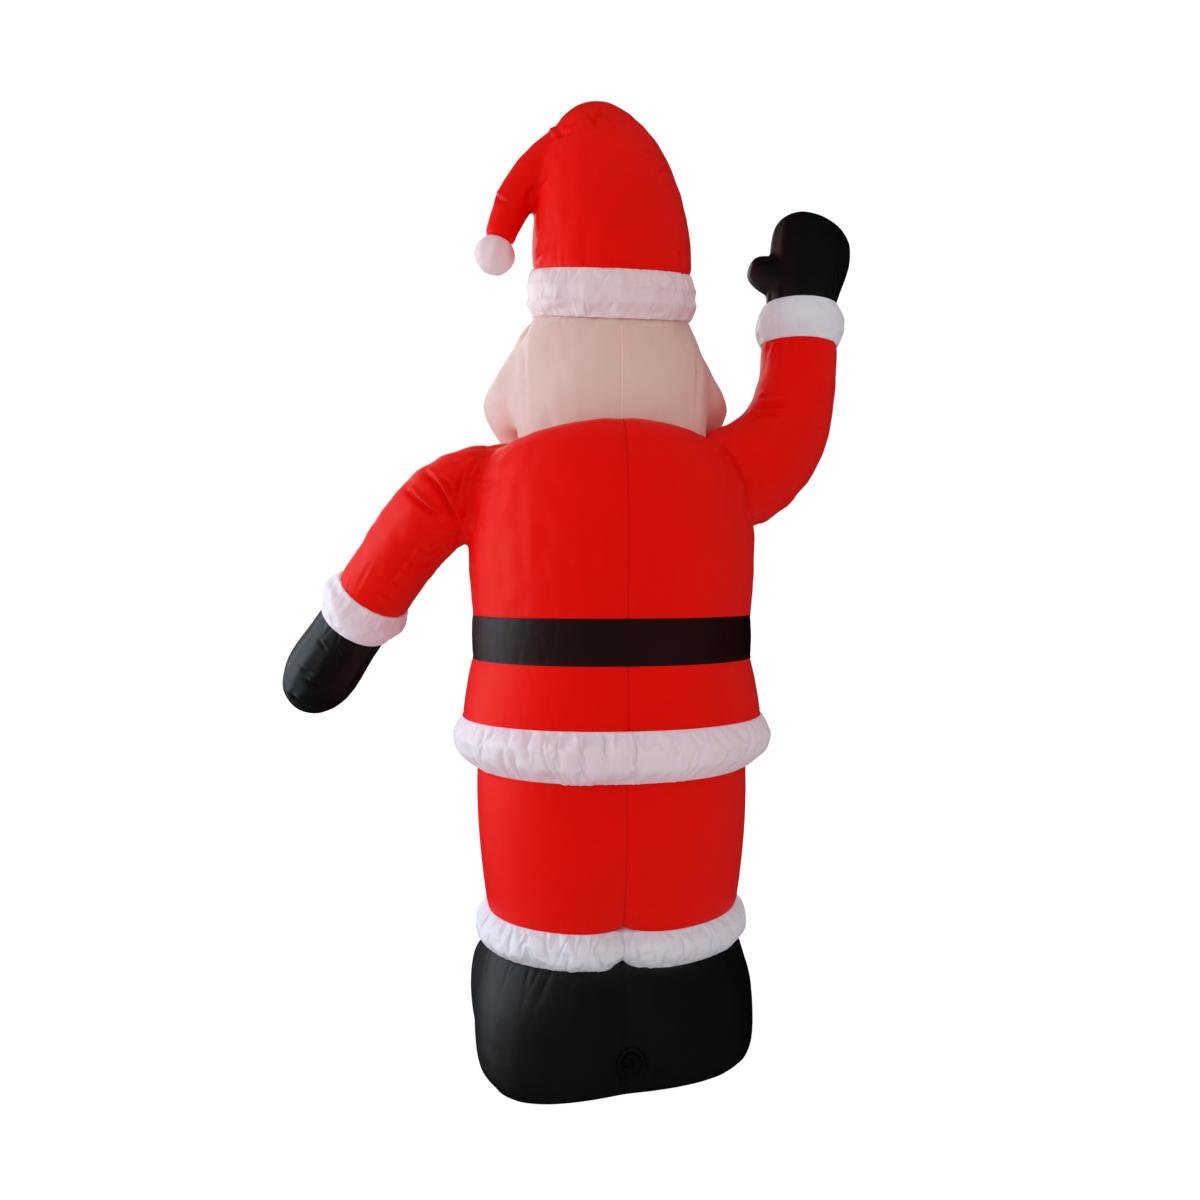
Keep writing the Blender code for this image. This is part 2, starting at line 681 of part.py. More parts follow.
def build_hat():
    """The gathered band, the leaning cone with its tail, and the ball on the tail's end."""
    skin_rings("hat_trim", section_rings(
        HAT_TRIM_LOW_Z, HAT_TRIM_HIGH_Z, HAT_SEAM, HAT_SEAM, HAT_TRIM_BULGE, BAND_STEPS,
        slope=HAT_SLOPE, gathers=HAT_TRIM_GATHERS), WHITE)
    steps = 9
    rings = []
    for step in range(steps + 1):
        share = HAT_LAST_RING * (1.0 - (1.0 - step / steps) ** HAT_RING_CROWDING)
        size = (1.0 - share ** HAT_TOP_START) ** HAT_TOP_BLUNTNESS
        rings.append(body_ring(
            HAT_TRIM_HIGH_Z + SEAM_GAP + HAT_HEIGHT * share,
            HAT_SEAM[0] * size, HAT_SEAM[1] * size, HEAD_SIDES,
            slope=HAT_SLOPE * (1.0 - share), middle=HAT_LEAN * share ** 2,
        ))
    hat = skin_rings("hat", rings, RED)

    last = len(TAIL_PATH) - 1
    stations = [
        (x, 0.0, HAT_TRIM_HIGH_Z + z, blend(TAIL_ROOT_RADIUS, TAIL_END_RADIUS, index / last))
        for index, (x, z) in enumerate(TAIL_PATH)
    ]
    path = smooth_stations(stations, 2)
    combine(hat, "UNION", skin_cutter("hat_tail", tube_rings(path, TAIL_SIDES)))

    end, along = tube_end(path)
    centre = end + along * (POMPOM_RADIUS - POMPOM_OVERLAP)
    bands = 7
    sides = SIDES_PER_GATHER * POMPOM_GATHERS
    rings = []
    for band in range(1, bands):
        tilt = HALF_TURN * band / bands
        radius = POMPOM_RADIUS * math.sin(tilt)
        middle = centre - along * (POMPOM_RADIUS * math.cos(tilt))
        ring = square_ring(middle, along, radius, radius, sides)
        rings.append([
            middle.lerp(point, 1.0 + POMPOM_WAVE * math.cos(FULL_TURN * index / SIDES_PER_GATHER))
            for index, point in enumerate(ring)
        ])
    pompom = skin_rings("hat_pompom", rings, WHITE)
    combine(pompom, "DIFFERENCE", skin_cutter("tail_cutter", tube_rings(path, TAIL_SIDES, SEAM_GAP)))


build_boots()
trunk = build_body()
build_buckle(trunk)
head_cutter = skin_cutter("head_cutter", head_rings(SEAM_GAP))
left_sleeve = build_arm("left", LEFT_ARM, LOWERED_MITTEN, -FRONT_TO_BACK, trunk, head_cutter)
right_sleeve = build_arm("right", RIGHT_ARM, RAISED_MITTEN, -LEFT_TO_RIGHT, trunk, head_cutter)
build_head(trunk, head_cutter, (left_sleeve, right_sleeve))
build_hat()
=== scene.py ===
import math

import bmesh
import bpy
import numpy as np
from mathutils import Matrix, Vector
from mathutils.bvhtree import BVHTree


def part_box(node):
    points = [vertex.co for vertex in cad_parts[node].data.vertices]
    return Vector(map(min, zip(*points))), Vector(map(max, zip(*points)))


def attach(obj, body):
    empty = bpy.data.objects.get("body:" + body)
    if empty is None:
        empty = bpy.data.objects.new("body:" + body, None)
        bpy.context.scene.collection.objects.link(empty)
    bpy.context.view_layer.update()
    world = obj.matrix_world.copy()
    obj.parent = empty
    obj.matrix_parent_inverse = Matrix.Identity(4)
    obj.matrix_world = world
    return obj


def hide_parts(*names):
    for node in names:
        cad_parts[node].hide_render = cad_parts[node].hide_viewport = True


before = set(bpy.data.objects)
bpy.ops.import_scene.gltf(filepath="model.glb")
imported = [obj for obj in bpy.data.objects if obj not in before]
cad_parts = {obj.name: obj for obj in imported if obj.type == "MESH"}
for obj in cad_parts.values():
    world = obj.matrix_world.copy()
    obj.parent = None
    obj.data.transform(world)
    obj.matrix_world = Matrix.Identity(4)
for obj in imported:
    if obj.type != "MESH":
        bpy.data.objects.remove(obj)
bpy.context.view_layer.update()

RED = "red_nylon"
WHITE = "white_nylon"
IVORY = "ivory_nylon"
BLACK = "black_nylon"
SKIN = "skin_nylon"
GOLD = "gold_nylon"

# The photograph's camera: its place, the way it looks and its lens, for a frame 1200 pixels wide
FRAME_PIXELS = 1200.0
FOCAL_PIXELS = 862.0
SENSOR_WIDTH = 36.0
CAMERA_DISTANCE = 2.22
CAMERA_HEIGHT = 1.165
CAMERA_AZIMUTH = math.radians(173.0)
AXIS_PIXEL = 612.0
HORIZON_PIXEL = 583.0
FORWARD = np.array((-math.sin(CAMERA_AZIMUTH), math.cos(CAMERA_AZIMUTH), 0.0))
RIGHTWARD = np.array((math.cos(CAMERA_AZIMUTH), math.sin(CAMERA_AZIMUTH), 0.0))
CAMERA_PLACE = -FORWARD * CAMERA_DISTANCE + np.array((0.0, 0.0, CAMERA_HEIGHT))

# Fineness of the cloth, in metres between neighbouring points
CELL = 0.0056
BAND_CELL = 0.0038
BODY_COLUMNS = 600
ARM_COLUMNS = 176
BODY_SMOOTHING = 9.0
# Neighbouring nodes are grown by this much, so that they join into one skin
GROWTH = 0.0005
# A skin runs on by this much inside the neighbour that covers its end
TUCK = 0.025
# A reading stays this far from a section's ends
MARGIN = 0.0015
FULL_TURN = 2.0 * math.pi

# Tucks that a seam gathers: their spacing along it, depth, length and width
TUCKS = {
    "trouser_trim": (0.019, 0.0046, 0.038, 0.0046),
    "coat_trim": (0.023, 0.0044, 0.045, 0.005),
    "hat_trim": (0.026, 0.0034, 0.042, 0.0055),
    "cuff": (0.02, 0.0026, 0.032, 0.005),
    "panel": (0.04, 0.0014, 0.045, 0.006),
    "ankle": (0.03, 0.003, 0.05, 0.007),
    "sole": (0.045, 0.003, 0.05, 0.008),
    "wrist": (0.026, 0.003, 0.045, 0.006),
    "armhole": (0.024, 0.004, 0.05, 0.0065),
    "mitten": (0.024, 0.0032, 0.055, 0.0065),
    "hairline": (0.03, 0.0022, 0.04, 0.006),
    "neckline": (0.034, 0.002, 0.04, 0.006),
    "hat": (0.034, 0.0026, 0.05, 0.0065),
}
# Of each skin that is remeshed from its solids: the size of its cells, and its rounds of smoothing
SKINS = {
    "coat": (0.0054, 26), "left_mitten": (0.004, 26), "right_mitten": (0.004, 26),
    "head": (0.0058, 44), "hat": (0.0054, 26), "hat_pompom": (0.003, 40), "face": (0.005, 30),
    "nose": (0.003, 10), "moustache": (0.0036, 10), "belt_buckle": (0.0028, 6),
}
STANDS_FOR = {"coat": ("coat", "left_sleeve", "right_sleeve"), "head": ("head", "beard")}
SLOTS = {"boots": BLACK, "left_mitten": BLACK, "right_mitten": BLACK, "head": IVORY, "face": SKIN,
         "nose": SKIN, "belt": BLACK, "trouser_trim": WHITE, "coat_trim": WHITE, "left_cuff": WHITE,
         "right_cuff": WHITE, "hat_trim": WHITE, "hat_pompom": WHITE, "moustache": WHITE,
         "belt_buckle": GOLD}
# Waves of the white bands between their seams
WAVES = {"trouser_trim": 0.0009, "coat_trim": 0.0009, "hat_trim": 0.0008, "cuff": 0.0007}
# How far a tuck leans for each metre of its length
LEAN = 0.3


# Fields over a grid of cloth: rows run along it, columns run round it and meet

def bell(cells):
    reach = int(3.0 * cells) + 1
    weights = np.exp(-0.5 * (np.arange(-reach, reach + 1) / cells) ** 2)
    return weights / weights.sum()


def blur(field, around, along):
    """Smooth a field by bells of these widths in cells; its first and last rows stay put along it."""
    if around:
        weights = bell(around)
        reach = len(weights) // 2
        count = field.shape[1]
        wide = np.take(field, np.arange(-reach, count + reach) % count, axis=1)
        field = sum(weight * wide[:, index:index + count] for index, weight in enumerate(weights))
    if along:
        weights = bell(along)
        reach = min(len(weights) // 2, field.shape[0] - 1)
        weights = weights[len(weights) // 2 - reach:len(weights) // 2 + reach + 1]
        weights = weights / weights.sum()
        before = 2.0 * field[:1] - field[reach:0:-1]
        after = 2.0 * field[-1:] - field[-2:-reach - 2:-1]
        tall = np.concatenate((before, field, after))
        rows = field.shape[0]
        field = sum(weight * tall[index:index + rows] for index, weight in enumerate(weights))
    return field


def unevenness(shape, around, along, seed):
    """Soft random waves of unit size, this many cells long each way."""
    rng = np.random.default_rng(seed)
    field = blur(rng.normal(size=shape), around, 0)
    field = blur(field, 0, along)
    return field / field.std()


def outward(points):
    """The unit normal at each point of a grid that runs anticlockwise and up."""
    round_it = np.roll(points, -1, axis=1) - np.roll(points, 1, axis=1)
    along_it = np.gradient(points, axis=0)
    normals = np.cross(round_it, along_it)
    return normals / np.maximum(np.linalg.norm(normals, axis=2, keepdims=True), 1e-9)


def reaches(points):
    """Distance of each point from the grid's first row and from its last row, along the cloth."""
    steps = np.linalg.norm(np.diff(points, axis=0), axis=2)
    rise = np.concatenate((np.zeros((1, points.shape[1])), np.cumsum(steps, axis=0)))
    return rise, rise[-1:] - rise


def girth(points):
    """Mean distance once round the grid, and each point's place on it."""
    steps = np.linalg.norm(points - np.roll(points, 1, axis=1), axis=2)
    total = float(steps.sum(axis=1).mean())
    places = np.arange(points.shape[1]) / points.shape[1] * total
    return total, np.broadcast_to(places, points.shape[:2])


def push(points, field):
    return points + outward(points) * field[:, :, None]


def puckers(reach, around, total, tucks, seed):
    """Tucks drawn in by a seam, deepest at it and wider and shallower away from it.

    Reach is the distance from the seam, and around is the place along it, out of its total length.
    """
    spacing, depth, length, width = TUCKS[tucks]
    rng = np.random.default_rng(seed)
    count = max(3, int(total / spacing))
    field = 0.35 * np.exp(-(reach / length) ** 1.5)
    for index in range(count):
        place = (index + rng.uniform(-0.4, 0.4)) / count * total
        size = rng.uniform(0.25, 1.0) ** 1.5
        long = length * rng.uniform(0.4, 1.4)
        wide = width * rng.uniform(0.7, 1.4)
        lean = LEAN * rng.normal()
        gap = (around - place - lean * reach + 0.5 * total) % total - 0.5 * total
        spread = wide * (0.6 + 0.8 * reach / long)
        field -= size * np.exp(-(np.abs(gap) / spread) ** 1.4) * np.exp(-(reach / long) ** 1.5)
    return depth * field


def puckers_round(reach, angle, radius, tucks, seed):
    """Tucks drawn in by a round seam."""
    return puckers(reach, angle % FULL_TURN * radius, FULL_TURN * radius, tucks, seed)


def seam_dip(reach, depth, width):
    """The valley that a seam draws along itself at a piece's end."""
    return -depth * np.exp(-reach / width)


def valley(offset, depth, width):
    """The valley that a seam draws along itself in the middle of a piece."""
    return -depth * np.exp(-(np.abs(offset) / width) ** 1.3)


# The photograph's pixels, for the creases that show in it

def to_pixels(points):
    """Where points fall in the photograph, and how far they are from the camera."""
    away = points - CAMERA_PLACE
    far = away @ FORWARD
    across = AXIS_PIXEL + FOCAL_PIXELS * (away @ RIGHTWARD) / far
    down = HORIZON_PIXEL - FOCAL_PIXELS * away[..., 2] / far
    return across, down, far


# The photograph's soft shadows hide part of what a crease is
FOLD_DEPTH = 1.5


def fold(points, normals, pixels, width, depth, ridge):
    """A crease along a line of the photograph's pixels, pressed into the side that faces it.

    The cloth rises into a ridge on the line's left, the way one side of a fold stands over it.
    """
    across, down, far = to_pixels(points)
    facing = np.sum(normals * (CAMERA_PLACE - points), axis=-1)
    facing = np.clip(facing / np.linalg.norm(CAMERA_PLACE - points, axis=-1) / 0.25, 0.0, 1.0)
    nearest = np.full(across.shape, np.inf)
    side = np.zeros(across.shape)
    share = np.zeros(across.shape)
    steps = len(pixels) - 1
    for index, (start, end) in enumerate(zip(pixels, pixels[1:])):
        run = np.subtract(end, start)
        length = np.hypot(*run)
        ahead = ((across - start[0]) * run[0] + (down - start[1]) * run[1]) / length ** 2
        ahead = np.clip(ahead, 0.0, 1.0)
        gap_x = across - start[0] - ahead * run[0]
        gap_y = down - start[1] - ahead * run[1]
        gap = np.hypot(gap_x, gap_y)
        closer = gap < nearest
        nearest = np.where(closer, gap, nearest)
        side = np.where(closer, (gap_x * run[1] - gap_y * run[0]) / length, side)
        share = np.where(closer, (index + ahead) / steps, share)
    gap = nearest * far / FOCAL_PIXELS
    side = side * far / FOCAL_PIXELS
    taper = np.sin(np.pi * np.clip(share, 0.02, 0.98)) ** 0.6
    crease = np.exp(-(gap / width) ** 2)
    crest = np.exp(-((side - 1.6 * width) / width) ** 2) * np.exp(-np.maximum(gap - 3.0 * width, 0.0) / width)
    return FOLD_DEPTH * depth * taper * facing * (ridge * crest - crease)


def shape_skin(piece, points, normals, field, folds, ridge=0.55):
    """Press folds into a skin and move it out by the field.

    Each fold is given by its width and depth in millimetres and its pixels.
    """
    for width, depth, *pixels in folds:
        field += fold(points, normals, pixels, 0.001 * width, 0.001 * depth, ridge)
    put_back(piece.data, points + normals * field[:, None])
    return piece


# Reading the frame

def tree_of(*nodes):
    vertices = []
    faces = []
    for node in nodes:
        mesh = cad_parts[node].data
        start = len(vertices)
        vertices += [vertex.co.copy() for vertex in mesh.vertices]
        faces += [[start + index for index in face.vertices] for face in mesh.polygons]
    return BVHTree.FromPolygons(vertices, faces)


def mesh_tree(mesh):
    return BVHTree.FromPolygons([vertex.co.copy() for vertex in mesh.vertices],
                                [list(face.vertices) for face in mesh.polygons])


def fill_gaps(field):
    """Give a point with no reading the nearest reading of its own column, or of its row."""
    rows = np.arange(field.shape[0])
    for column in range(field.shape[1]):
        known = ~np.isnan(field[:, column])
        if known.any():
            field[:, column] = np.interp(rows, rows[known], field[known, column])
    known = ~np.isnan(field).all(axis=0)
    columns = np.arange(field.shape[1])
    for row in rows:
        field[row] = np.interp(columns, columns[known], field[row, known])
    return field


def cast(tree, origins, directions, far=None):
    """Distance from each origin to the surface; with far, read from that far out, inwards."""
    field = np.full(origins.shape[:2], np.nan)
    for row in range(field.shape[0]):
        for column in range(field.shape[1]):
            origin = Vector(origins[row, column])
            direction = Vector(directions[row, column])
            if far:
                distance = tree.ray_cast(origin + direction * far, -direction, far)[3]
            else:
                distance = tree.ray_cast(origin, direction)[3]
            if distance is not None:
                field[row, column] = far - distance if far else distance
    return fill_gaps(field)


def bearings(columns):
    angles = FULL_TURN * np.arange(columns) / columns
    return np.cos(angles), np.sin(angles)


def fan(tree, heights, rises, around, along):
    """A grid read from the upright axis: each row has its height there and its climb outwards."""
    across, deep = bearings(BODY_COLUMNS)
    origins = np.zeros((len(heights), BODY_COLUMNS, 3))
    origins[:, :, 2] = heights[:, None]
    directions = np.empty(origins.shape)
    directions[:, :, 0] = across
    directions[:, :, 1] = deep
    directions[:, :, 2] = rises
    directions /= np.linalg.norm(directions, axis=2, keepdims=True)
    distances = blur(cast(tree, origins, directions), around, along)
    return origins + directions * distances[:, :, None]


def meet(points, low_seam, high_seam):
    """Draw the grid's ends onto the seams that it shares with its neighbours."""
    from_low, from_high = reaches(points)
    for seam, row, reach in ((low_seam, 0, from_low), (high_seam, -1, from_high)):
        if seam is not None:
            shift = seam - points[row]
            points = points + np.exp(-(reach / 0.03) ** 2)[:, :, None] * shift[None]
    return points


# Making pieces

SHARP_ANGLE = math.radians(65.0)


def add_mesh(name, vertices, faces, material):
    mesh = bpy.data.meshes.new(name)
    mesh.from_pydata(vertices, [], faces)
    mesh.update()
    mesh.shade_smooth()
    piece = bpy.data.objects.new(name, mesh)
    bpy.context.scene.collection.objects.link(piece)
    mesh.materials.append(material)
    return piece


def grid_faces(rows, columns):
    row, column = np.meshgrid(np.arange(rows - 1), np.arange(columns), indexing="ij")
    following = (column + 1) % columns
    corners = (row * columns + column, row * columns + following,
               (row + 1) * columns + following, (row + 1) * columns + column)
    return np.stack(corners, axis=-1).reshape(-1, 4)


def close_ends(vertices, faces, rows, columns, middles):
    """Close the first and last rows of a grid by fans of faces round these middles."""
    for row, middle in zip((0, rows - 1), middles):
        centre = len(vertices)
        vertices.append(tuple(middle))
        for column in range(columns):
            here = row * columns + column
            following = row * columns + (column + 1) % columns
            faces.append((centre, following, here) if row == 0 else (centre, here, following))


def turned_outward(piece):
    """The piece with every face turned outwards."""
    shape = bmesh.new()
    shape.from_mesh(piece.data)
    bmesh.ops.recalc_face_normals(shape, faces=shape.faces)
    shape.to_mesh(piece.data)
    shape.free()
    return piece


def grid_piece(node, points):
    """A tube of cloth for a node, closed at each end by a fan that its neighbour hides."""
    rows, columns, _ = points.shape
    vertices = points.reshape(-1, 3).tolist()
    faces = grid_faces(rows, columns).tolist()
    close_ends(vertices, faces, rows, columns, (points[0].mean(axis=0), points[-1].mean(axis=0)))
    piece = add_mesh(node + "_cloth", vertices, faces, cloth_of(node))
    piece.data.set_sharp_from_angle(angle=SHARP_ANGLE)
    seam = piece.vertex_groups.new(name="seam")
    ends = list(range(columns)) + list(range((rows - 1) * columns, len(vertices)))
    seam.add(ends, 1.0, "REPLACE")
    return piece


def coordinates(mesh):
    flat = np.empty(3 * len(mesh.vertices))
    mesh.vertices.foreach_get("co", flat)
    return flat.reshape(-1, 3)


def put_back(mesh, points):
    mesh.vertices.foreach_set("co", np.ascontiguousarray(points, dtype=float).ravel())
    mesh.update()


def mesh_normals(mesh):
    flat = np.empty(3 * len(mesh.vertices))
    mesh.vertex_normals.foreach_get("vector", flat)
    return flat.reshape(-1, 3)


def relaxed(values, mesh, rounds):
    """Bring a value at every vertex towards the mean of its neighbours, this many times."""
    ends = np.empty(2 * len(mesh.edges), dtype=np.int64)
    mesh.edges.foreach_get("vertices", ends)
    first, second = ends[0::2], ends[1::2]
    count = len(mesh.vertices)
    neighbours = np.bincount(first, minlength=count) + np.bincount(second, minlength=count)
    neighbours = np.maximum(neighbours, 1)[:, None]
    for _ in range(rounds):
        mean = np.stack([
            np.bincount(first, values[second, axis], count) + np.bincount(second, values[first, axis], count)
            for axis in range(values.shape[1])], axis=-1) / neighbours
        values = 0.5 * (values + mean)
    return values


def slow_waves(mesh, seed, size):
    """Soft random waves of this size over a mesh."""
    rng = np.random.default_rng(seed)
    field = relaxed(rng.normal(size=(len(mesh.vertices), 1)), mesh, 40)[:, 0]
    return field * (size / field.std())


def soft_skin(name, node, tuck=None):
    """A node, with those that go with it, as one fine skin: its facets go, but it keeps its size.

    Tuck says where an end that a neighbour covers runs on to, inside that neighbour.
    """
    voxel, rounds = SKINS[node]
    shape = bmesh.new()
    for part in STANDS_FOR.get(node, (node,)):
        shape.from_mesh(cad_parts[part].data)
    bmesh.ops.remove_doubles(shape, verts=shape.verts, dist=1e-5)
    shape.normal_update()
    for vertex in shape.verts:
        vertex.co += vertex.normal * GROWTH
    if tuck:
        moves = {vertex: np.linalg.norm(tuck(np.array(vertex.co)) - vertex.co) for vertex in shape.verts}
        ends = [face for face in shape.faces if min(moves[vertex] for vertex in face.verts) > 0.001]
        for part in bmesh.ops.extrude_face_region(shape, geom=ends)["geom"]:
            if isinstance(part, bmesh.types.BMVert):
                part.co = Vector(tuck(np.array(part.co)))
    mesh = bpy.data.meshes.new(name)
    shape.to_mesh(mesh)
    shape.free()
    source = bpy.data.objects.new(name + "_source", mesh)
    bpy.context.scene.collection.objects.link(source)
    remesh = source.modifiers.new("Remesh", "REMESH")
    remesh.mode = "VOXEL"
    remesh.voxel_size = voxel
    bpy.context.view_layer.update()
    fine = bpy.data.meshes.new_from_object(source.evaluated_get(bpy.context.evaluated_depsgraph_get()))
    bpy.data.objects.remove(source)
    fine.name = name
    rough = coordinates(fine)
    smooth = relaxed(rough, fine, rounds)
    put_back(fine, smooth)
    normals = mesh_normals(fine)
    shrunk = np.sum((rough - smooth) * normals, axis=1, keepdims=True)
    put_back(fine, smooth + normals * relaxed(shrunk, fine, rounds))
    fine.materials.clear()
    fine.materials.append(cloth_of(node))
    fine.shade_smooth()
    piece = bpy.data.objects.new(name, fine)
    bpy.context.scene.collection.objects.link(piece)
    return piece


def dress(piece, slot, *nodes):
    """Put a finished piece on the body in place of its nodes."""
    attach(piece, "root")
    if nodes:
        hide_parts(*nodes)


# Gathers: more cloth than its seams hold is blown up between them, and buckles into folds

BLOW_FRAMES = 11
TAUT_LEVELS = 20
# The seams' vertices are held still, and the more taut a vertex is, the less its cloth grows
BLOWN_CLOTH = {
    "quality": 5, "mass": 0.02, "tension_stiffness": 30.0, "compression_stiffness": 30.0,
    "shear_stiffness": 8.0, "bending_stiffness": 0.6, "use_pressure": True, "uniform_pressure_force": 1.0,
    "shrink_max": 0.0, "vertex_group_shrink": "taut", "vertex_group_mass": "seam",
}


def spare_cloth(piece, middle, axis, patch, seed):
    """How much spare cloth each vertex has, from 0 to 1: most on one patch of the side in the photograph."""
    points = coordinates(piece.data)
    away = points - middle
    level = np.cross(axis, (0.0, 1.0, 0.0))
    angle = np.arctan2(away @ np.cross(level, axis), away @ level)
    rng = np.random.default_rng(seed)
    share = np.full(len(points), 0.45)
    for turns in (2, 3, 5):
        share += 0.16 * rng.normal() * np.cos(turns * angle + rng.uniform(0.0, FULL_TURN))
    if patch:
        across = to_pixels(points)[0]
        facing = np.clip(away @ (CAMERA_PLACE - middle) / np.linalg.norm(away, axis=1) / 0.5, 0.0, 1.0)
        share += facing * (0.25 + 0.75 * np.exp(-((across - patch[0]) / patch[1]) ** 2) - share)
    # Little of it lies right at the seams, which hold the cloth flat
    along = away @ axis
    inset = np.minimum(along - along.min(), along.max() - along)
    return np.clip(share, 0.08, 1.0) * (1.0 - 0.5 * np.exp(-(inset / 0.008) ** 2))


def blow_up(jobs):
    """Each job: a piece, its share of spare cloth, the most of it, the room and the rounds of smoothing."""
    scene = bpy.context.scene
    starts = {}
    for piece, spare, most, room, rounds in jobs:
        starts[piece.name] = coordinates(piece.data)
        group = piece.vertex_groups.new(name="taut")
        for level in range(1, TAUT_LEVELS + 1):
            chosen = np.flatnonzero(np.round((1.0 - spare) * TAUT_LEVELS) == level).tolist()
            if chosen:
                group.add(chosen, level / TAUT_LEVELS, "REPLACE")
        cloth = piece.modifiers.new("Cloth", "CLOTH")
        settings = cloth.settings
        for name, value in BLOWN_CLOTH.items():
            setattr(settings, name, value)
        settings.shrink_min = -most
        settings.effector_weights.gravity = 0.0
        cloth.point_cache.frame_start = 1
        cloth.point_cache.frame_end = BLOW_FRAMES
    for step in range(1, BLOW_FRAMES + 1):
        scene.frame_set(step)
    depsgraph = bpy.context.evaluated_depsgraph_get()
    blown = [coordinates(job[0].evaluated_get(depsgraph).data) for job in jobs]
    for (piece, _, _, room, rounds), points in zip(jobs, blown):
        move = points - starts[piece.name]
        size = np.linalg.norm(move, axis=1, keepdims=True)
        move *= room * np.tanh(size / room) / np.maximum(size, 1e-9)
        move = relaxed(move, piece.data, rounds)
        piece.modifiers.remove(piece.modifiers["Cloth"])
        put_back(piece.data, starts[piece.name] + move)
    scene.frame_set(1)


# Materials

THREAD_SCALE = 260.0
THREAD_HEIGHT = 0.0004
DRAWN_HEIGHT = 0.003
PATCH_SCALE = 3.5


def fill_in(node, inputs):
    """Give each input of a node its value, or the output that feeds it."""
    for name, value in inputs.items():
        if isinstance(value, bpy.types.NodeSocket):
            node.id_data.links.new(value, node.inputs[name])
        else:
            node.inputs[name].default_value = value
    return node


def new_node(tree, kind, inputs):
    return fill_in(tree.nodes.new("ShaderNode" + kind), inputs)


def noise(tree, place, scale, detail=3.0, roughness=0.5):
    return new_node(tree, "TexNoise", {
        "Scale": scale, "Detail": detail, "Roughness": roughness, "Vector": place}).outputs["Fac"]


def thread_bump(tree, place):
    """Fine crossed threads with a slightly uneven, drawn surface."""
    cross = tree.nodes.new("ShaderNodeMath")
    cross.operation = "ADD"
    for index, direction in enumerate(("X", "Z")):
        wave = new_node(tree, "TexWave", {"Scale": THREAD_SCALE, "Distortion": 0.6, "Vector": place})
        wave.wave_type = "BANDS"
        wave.bands_direction = direction
        tree.links.new(wave.outputs["Fac"], cross.inputs[index])
    threads = new_node(tree, "Bump", {
        "Strength": 0.35, "Distance": THREAD_HEIGHT, "Height": cross.outputs[0]})
    drawn = new_node(tree, "Bump", {
        "Strength": 0.35, "Distance": DRAWN_HEIGHT, "Height": noise(tree, place, 28.0, 4.0, 0.55),
        "Normal": threads.outputs["Normal"]})
    return drawn.outputs["Normal"]


def nylon(name, dark, light, roughness, gloss, glow=None, tint=None):
    """Woven nylon: a slow change of colour in the cloth, fine threads and a satin surface, and with glow an
    emission that paints light into the cloth as if it shone from inside.
    """
    material = bpy.data.materials.new(name)
    material.use_nodes = True
    tree = material.node_tree
    place = tree.nodes.new("ShaderNodeTexCoord").outputs["Object"]
    ramp = tree.nodes.new("ShaderNodeValToRGB")
    for element, position, colour in zip(ramp.color_ramp.elements, (0.35, 0.68), (dark, light)):
        element.position = position
        element.color = (*colour, 1.0)
    fill_in(ramp, {"Fac": noise(tree, place, PATCH_SCALE, 4.0, 0.55)})
    spread = new_node(tree, "MapRange", {
        "To Min": roughness - 0.06, "To Max": roughness + 0.06, "Value": noise(tree, place, 14.0)})
    shader = fill_in(tree.nodes["Principled BSDF"], {
        "Specular IOR Level": gloss, "Base Color": ramp.outputs["Color"],
        "Roughness": spread.outputs["Result"], "Normal": thread_bump(tree, place)})
    if tint:
        fill_in(shader, {"Specular Tint": (*tint, 1.0)})
    # The glow is painted light: the cloth emits as if lit through from inside, though it is no lamp.
    if glow:
        fill_in(shader, {"Emission Color": (*glow, 1.0), "Emission Strength": 1.0})
    return material


# The glow of the white and ivory cloths is painted reddish light, as if the red cloth shone through them from
# inside.
CLOTH = {
    RED: nylon("red_cloth", (0.85, 0.0014, 0.0003), (0.9, 0.0024, 0.0005), 0.46, 0.19,
               tint=(1.0, 0.5, 0.3)),
    WHITE: nylon("white_cloth", (0.74, 0.71, 0.74), (0.8, 0.78, 0.81), 0.5, 0.3,
                 glow=(0.06, 0.006, 0.01)),
    IVORY: nylon("ivory_cloth", (0.66, 0.56, 0.5), (0.71, 0.62, 0.56), 0.52, 0.22,
                 glow=(0.06, 0.0, 0.0)),
    BLACK: nylon("black_cloth", (0.006, 0.0054, 0.0058), (0.0084, 0.0078, 0.0082), 0.5, 0.55),
    SKIN: nylon("skin_cloth", (0.72, 0.36, 0.24), (0.78, 0.43, 0.3), 0.52, 0.22),
    GOLD: nylon("gold_cloth", (0.62, 0.33, 0.04), (0.72, 0.42, 0.07), 0.38, 0.5),
}
# Lighter, bluer copies of the white cloth for the lower bands and the cuffs: they paint the window's cool
# light on them, and their glow is painted light through the cloth.
COAT_HEM_CLOTH = nylon("coat_hem_cloth", (0.78, 0.78, 0.86), (0.84, 0.86, 0.94), 0.46, 0.45,
                       glow=(0.05, 0.02, 0.03))
FOOT_HEM_CLOTH = nylon("foot_hem_cloth", (0.76, 0.82, 0.9), (0.82, 0.9, 0.98), 0.46, 0.45,
                       glow=(0.01, 0.02, 0.03))
# Black belt cloth with a reddish cast: the cast is painted red light showing through it from inside.
BELT_CLOTH = nylon("belt_cloth", (0.02, 0.0034, 0.0028), (0.026, 0.0048, 0.004), 0.44, 0.32)
RED_SEAM = nylon("red_seam", (0.66, 0.002, 0.0004), (0.71, 0.0028, 0.0006), 0.55, 0.15,
                 tint=(1.0, 0.55, 0.35))
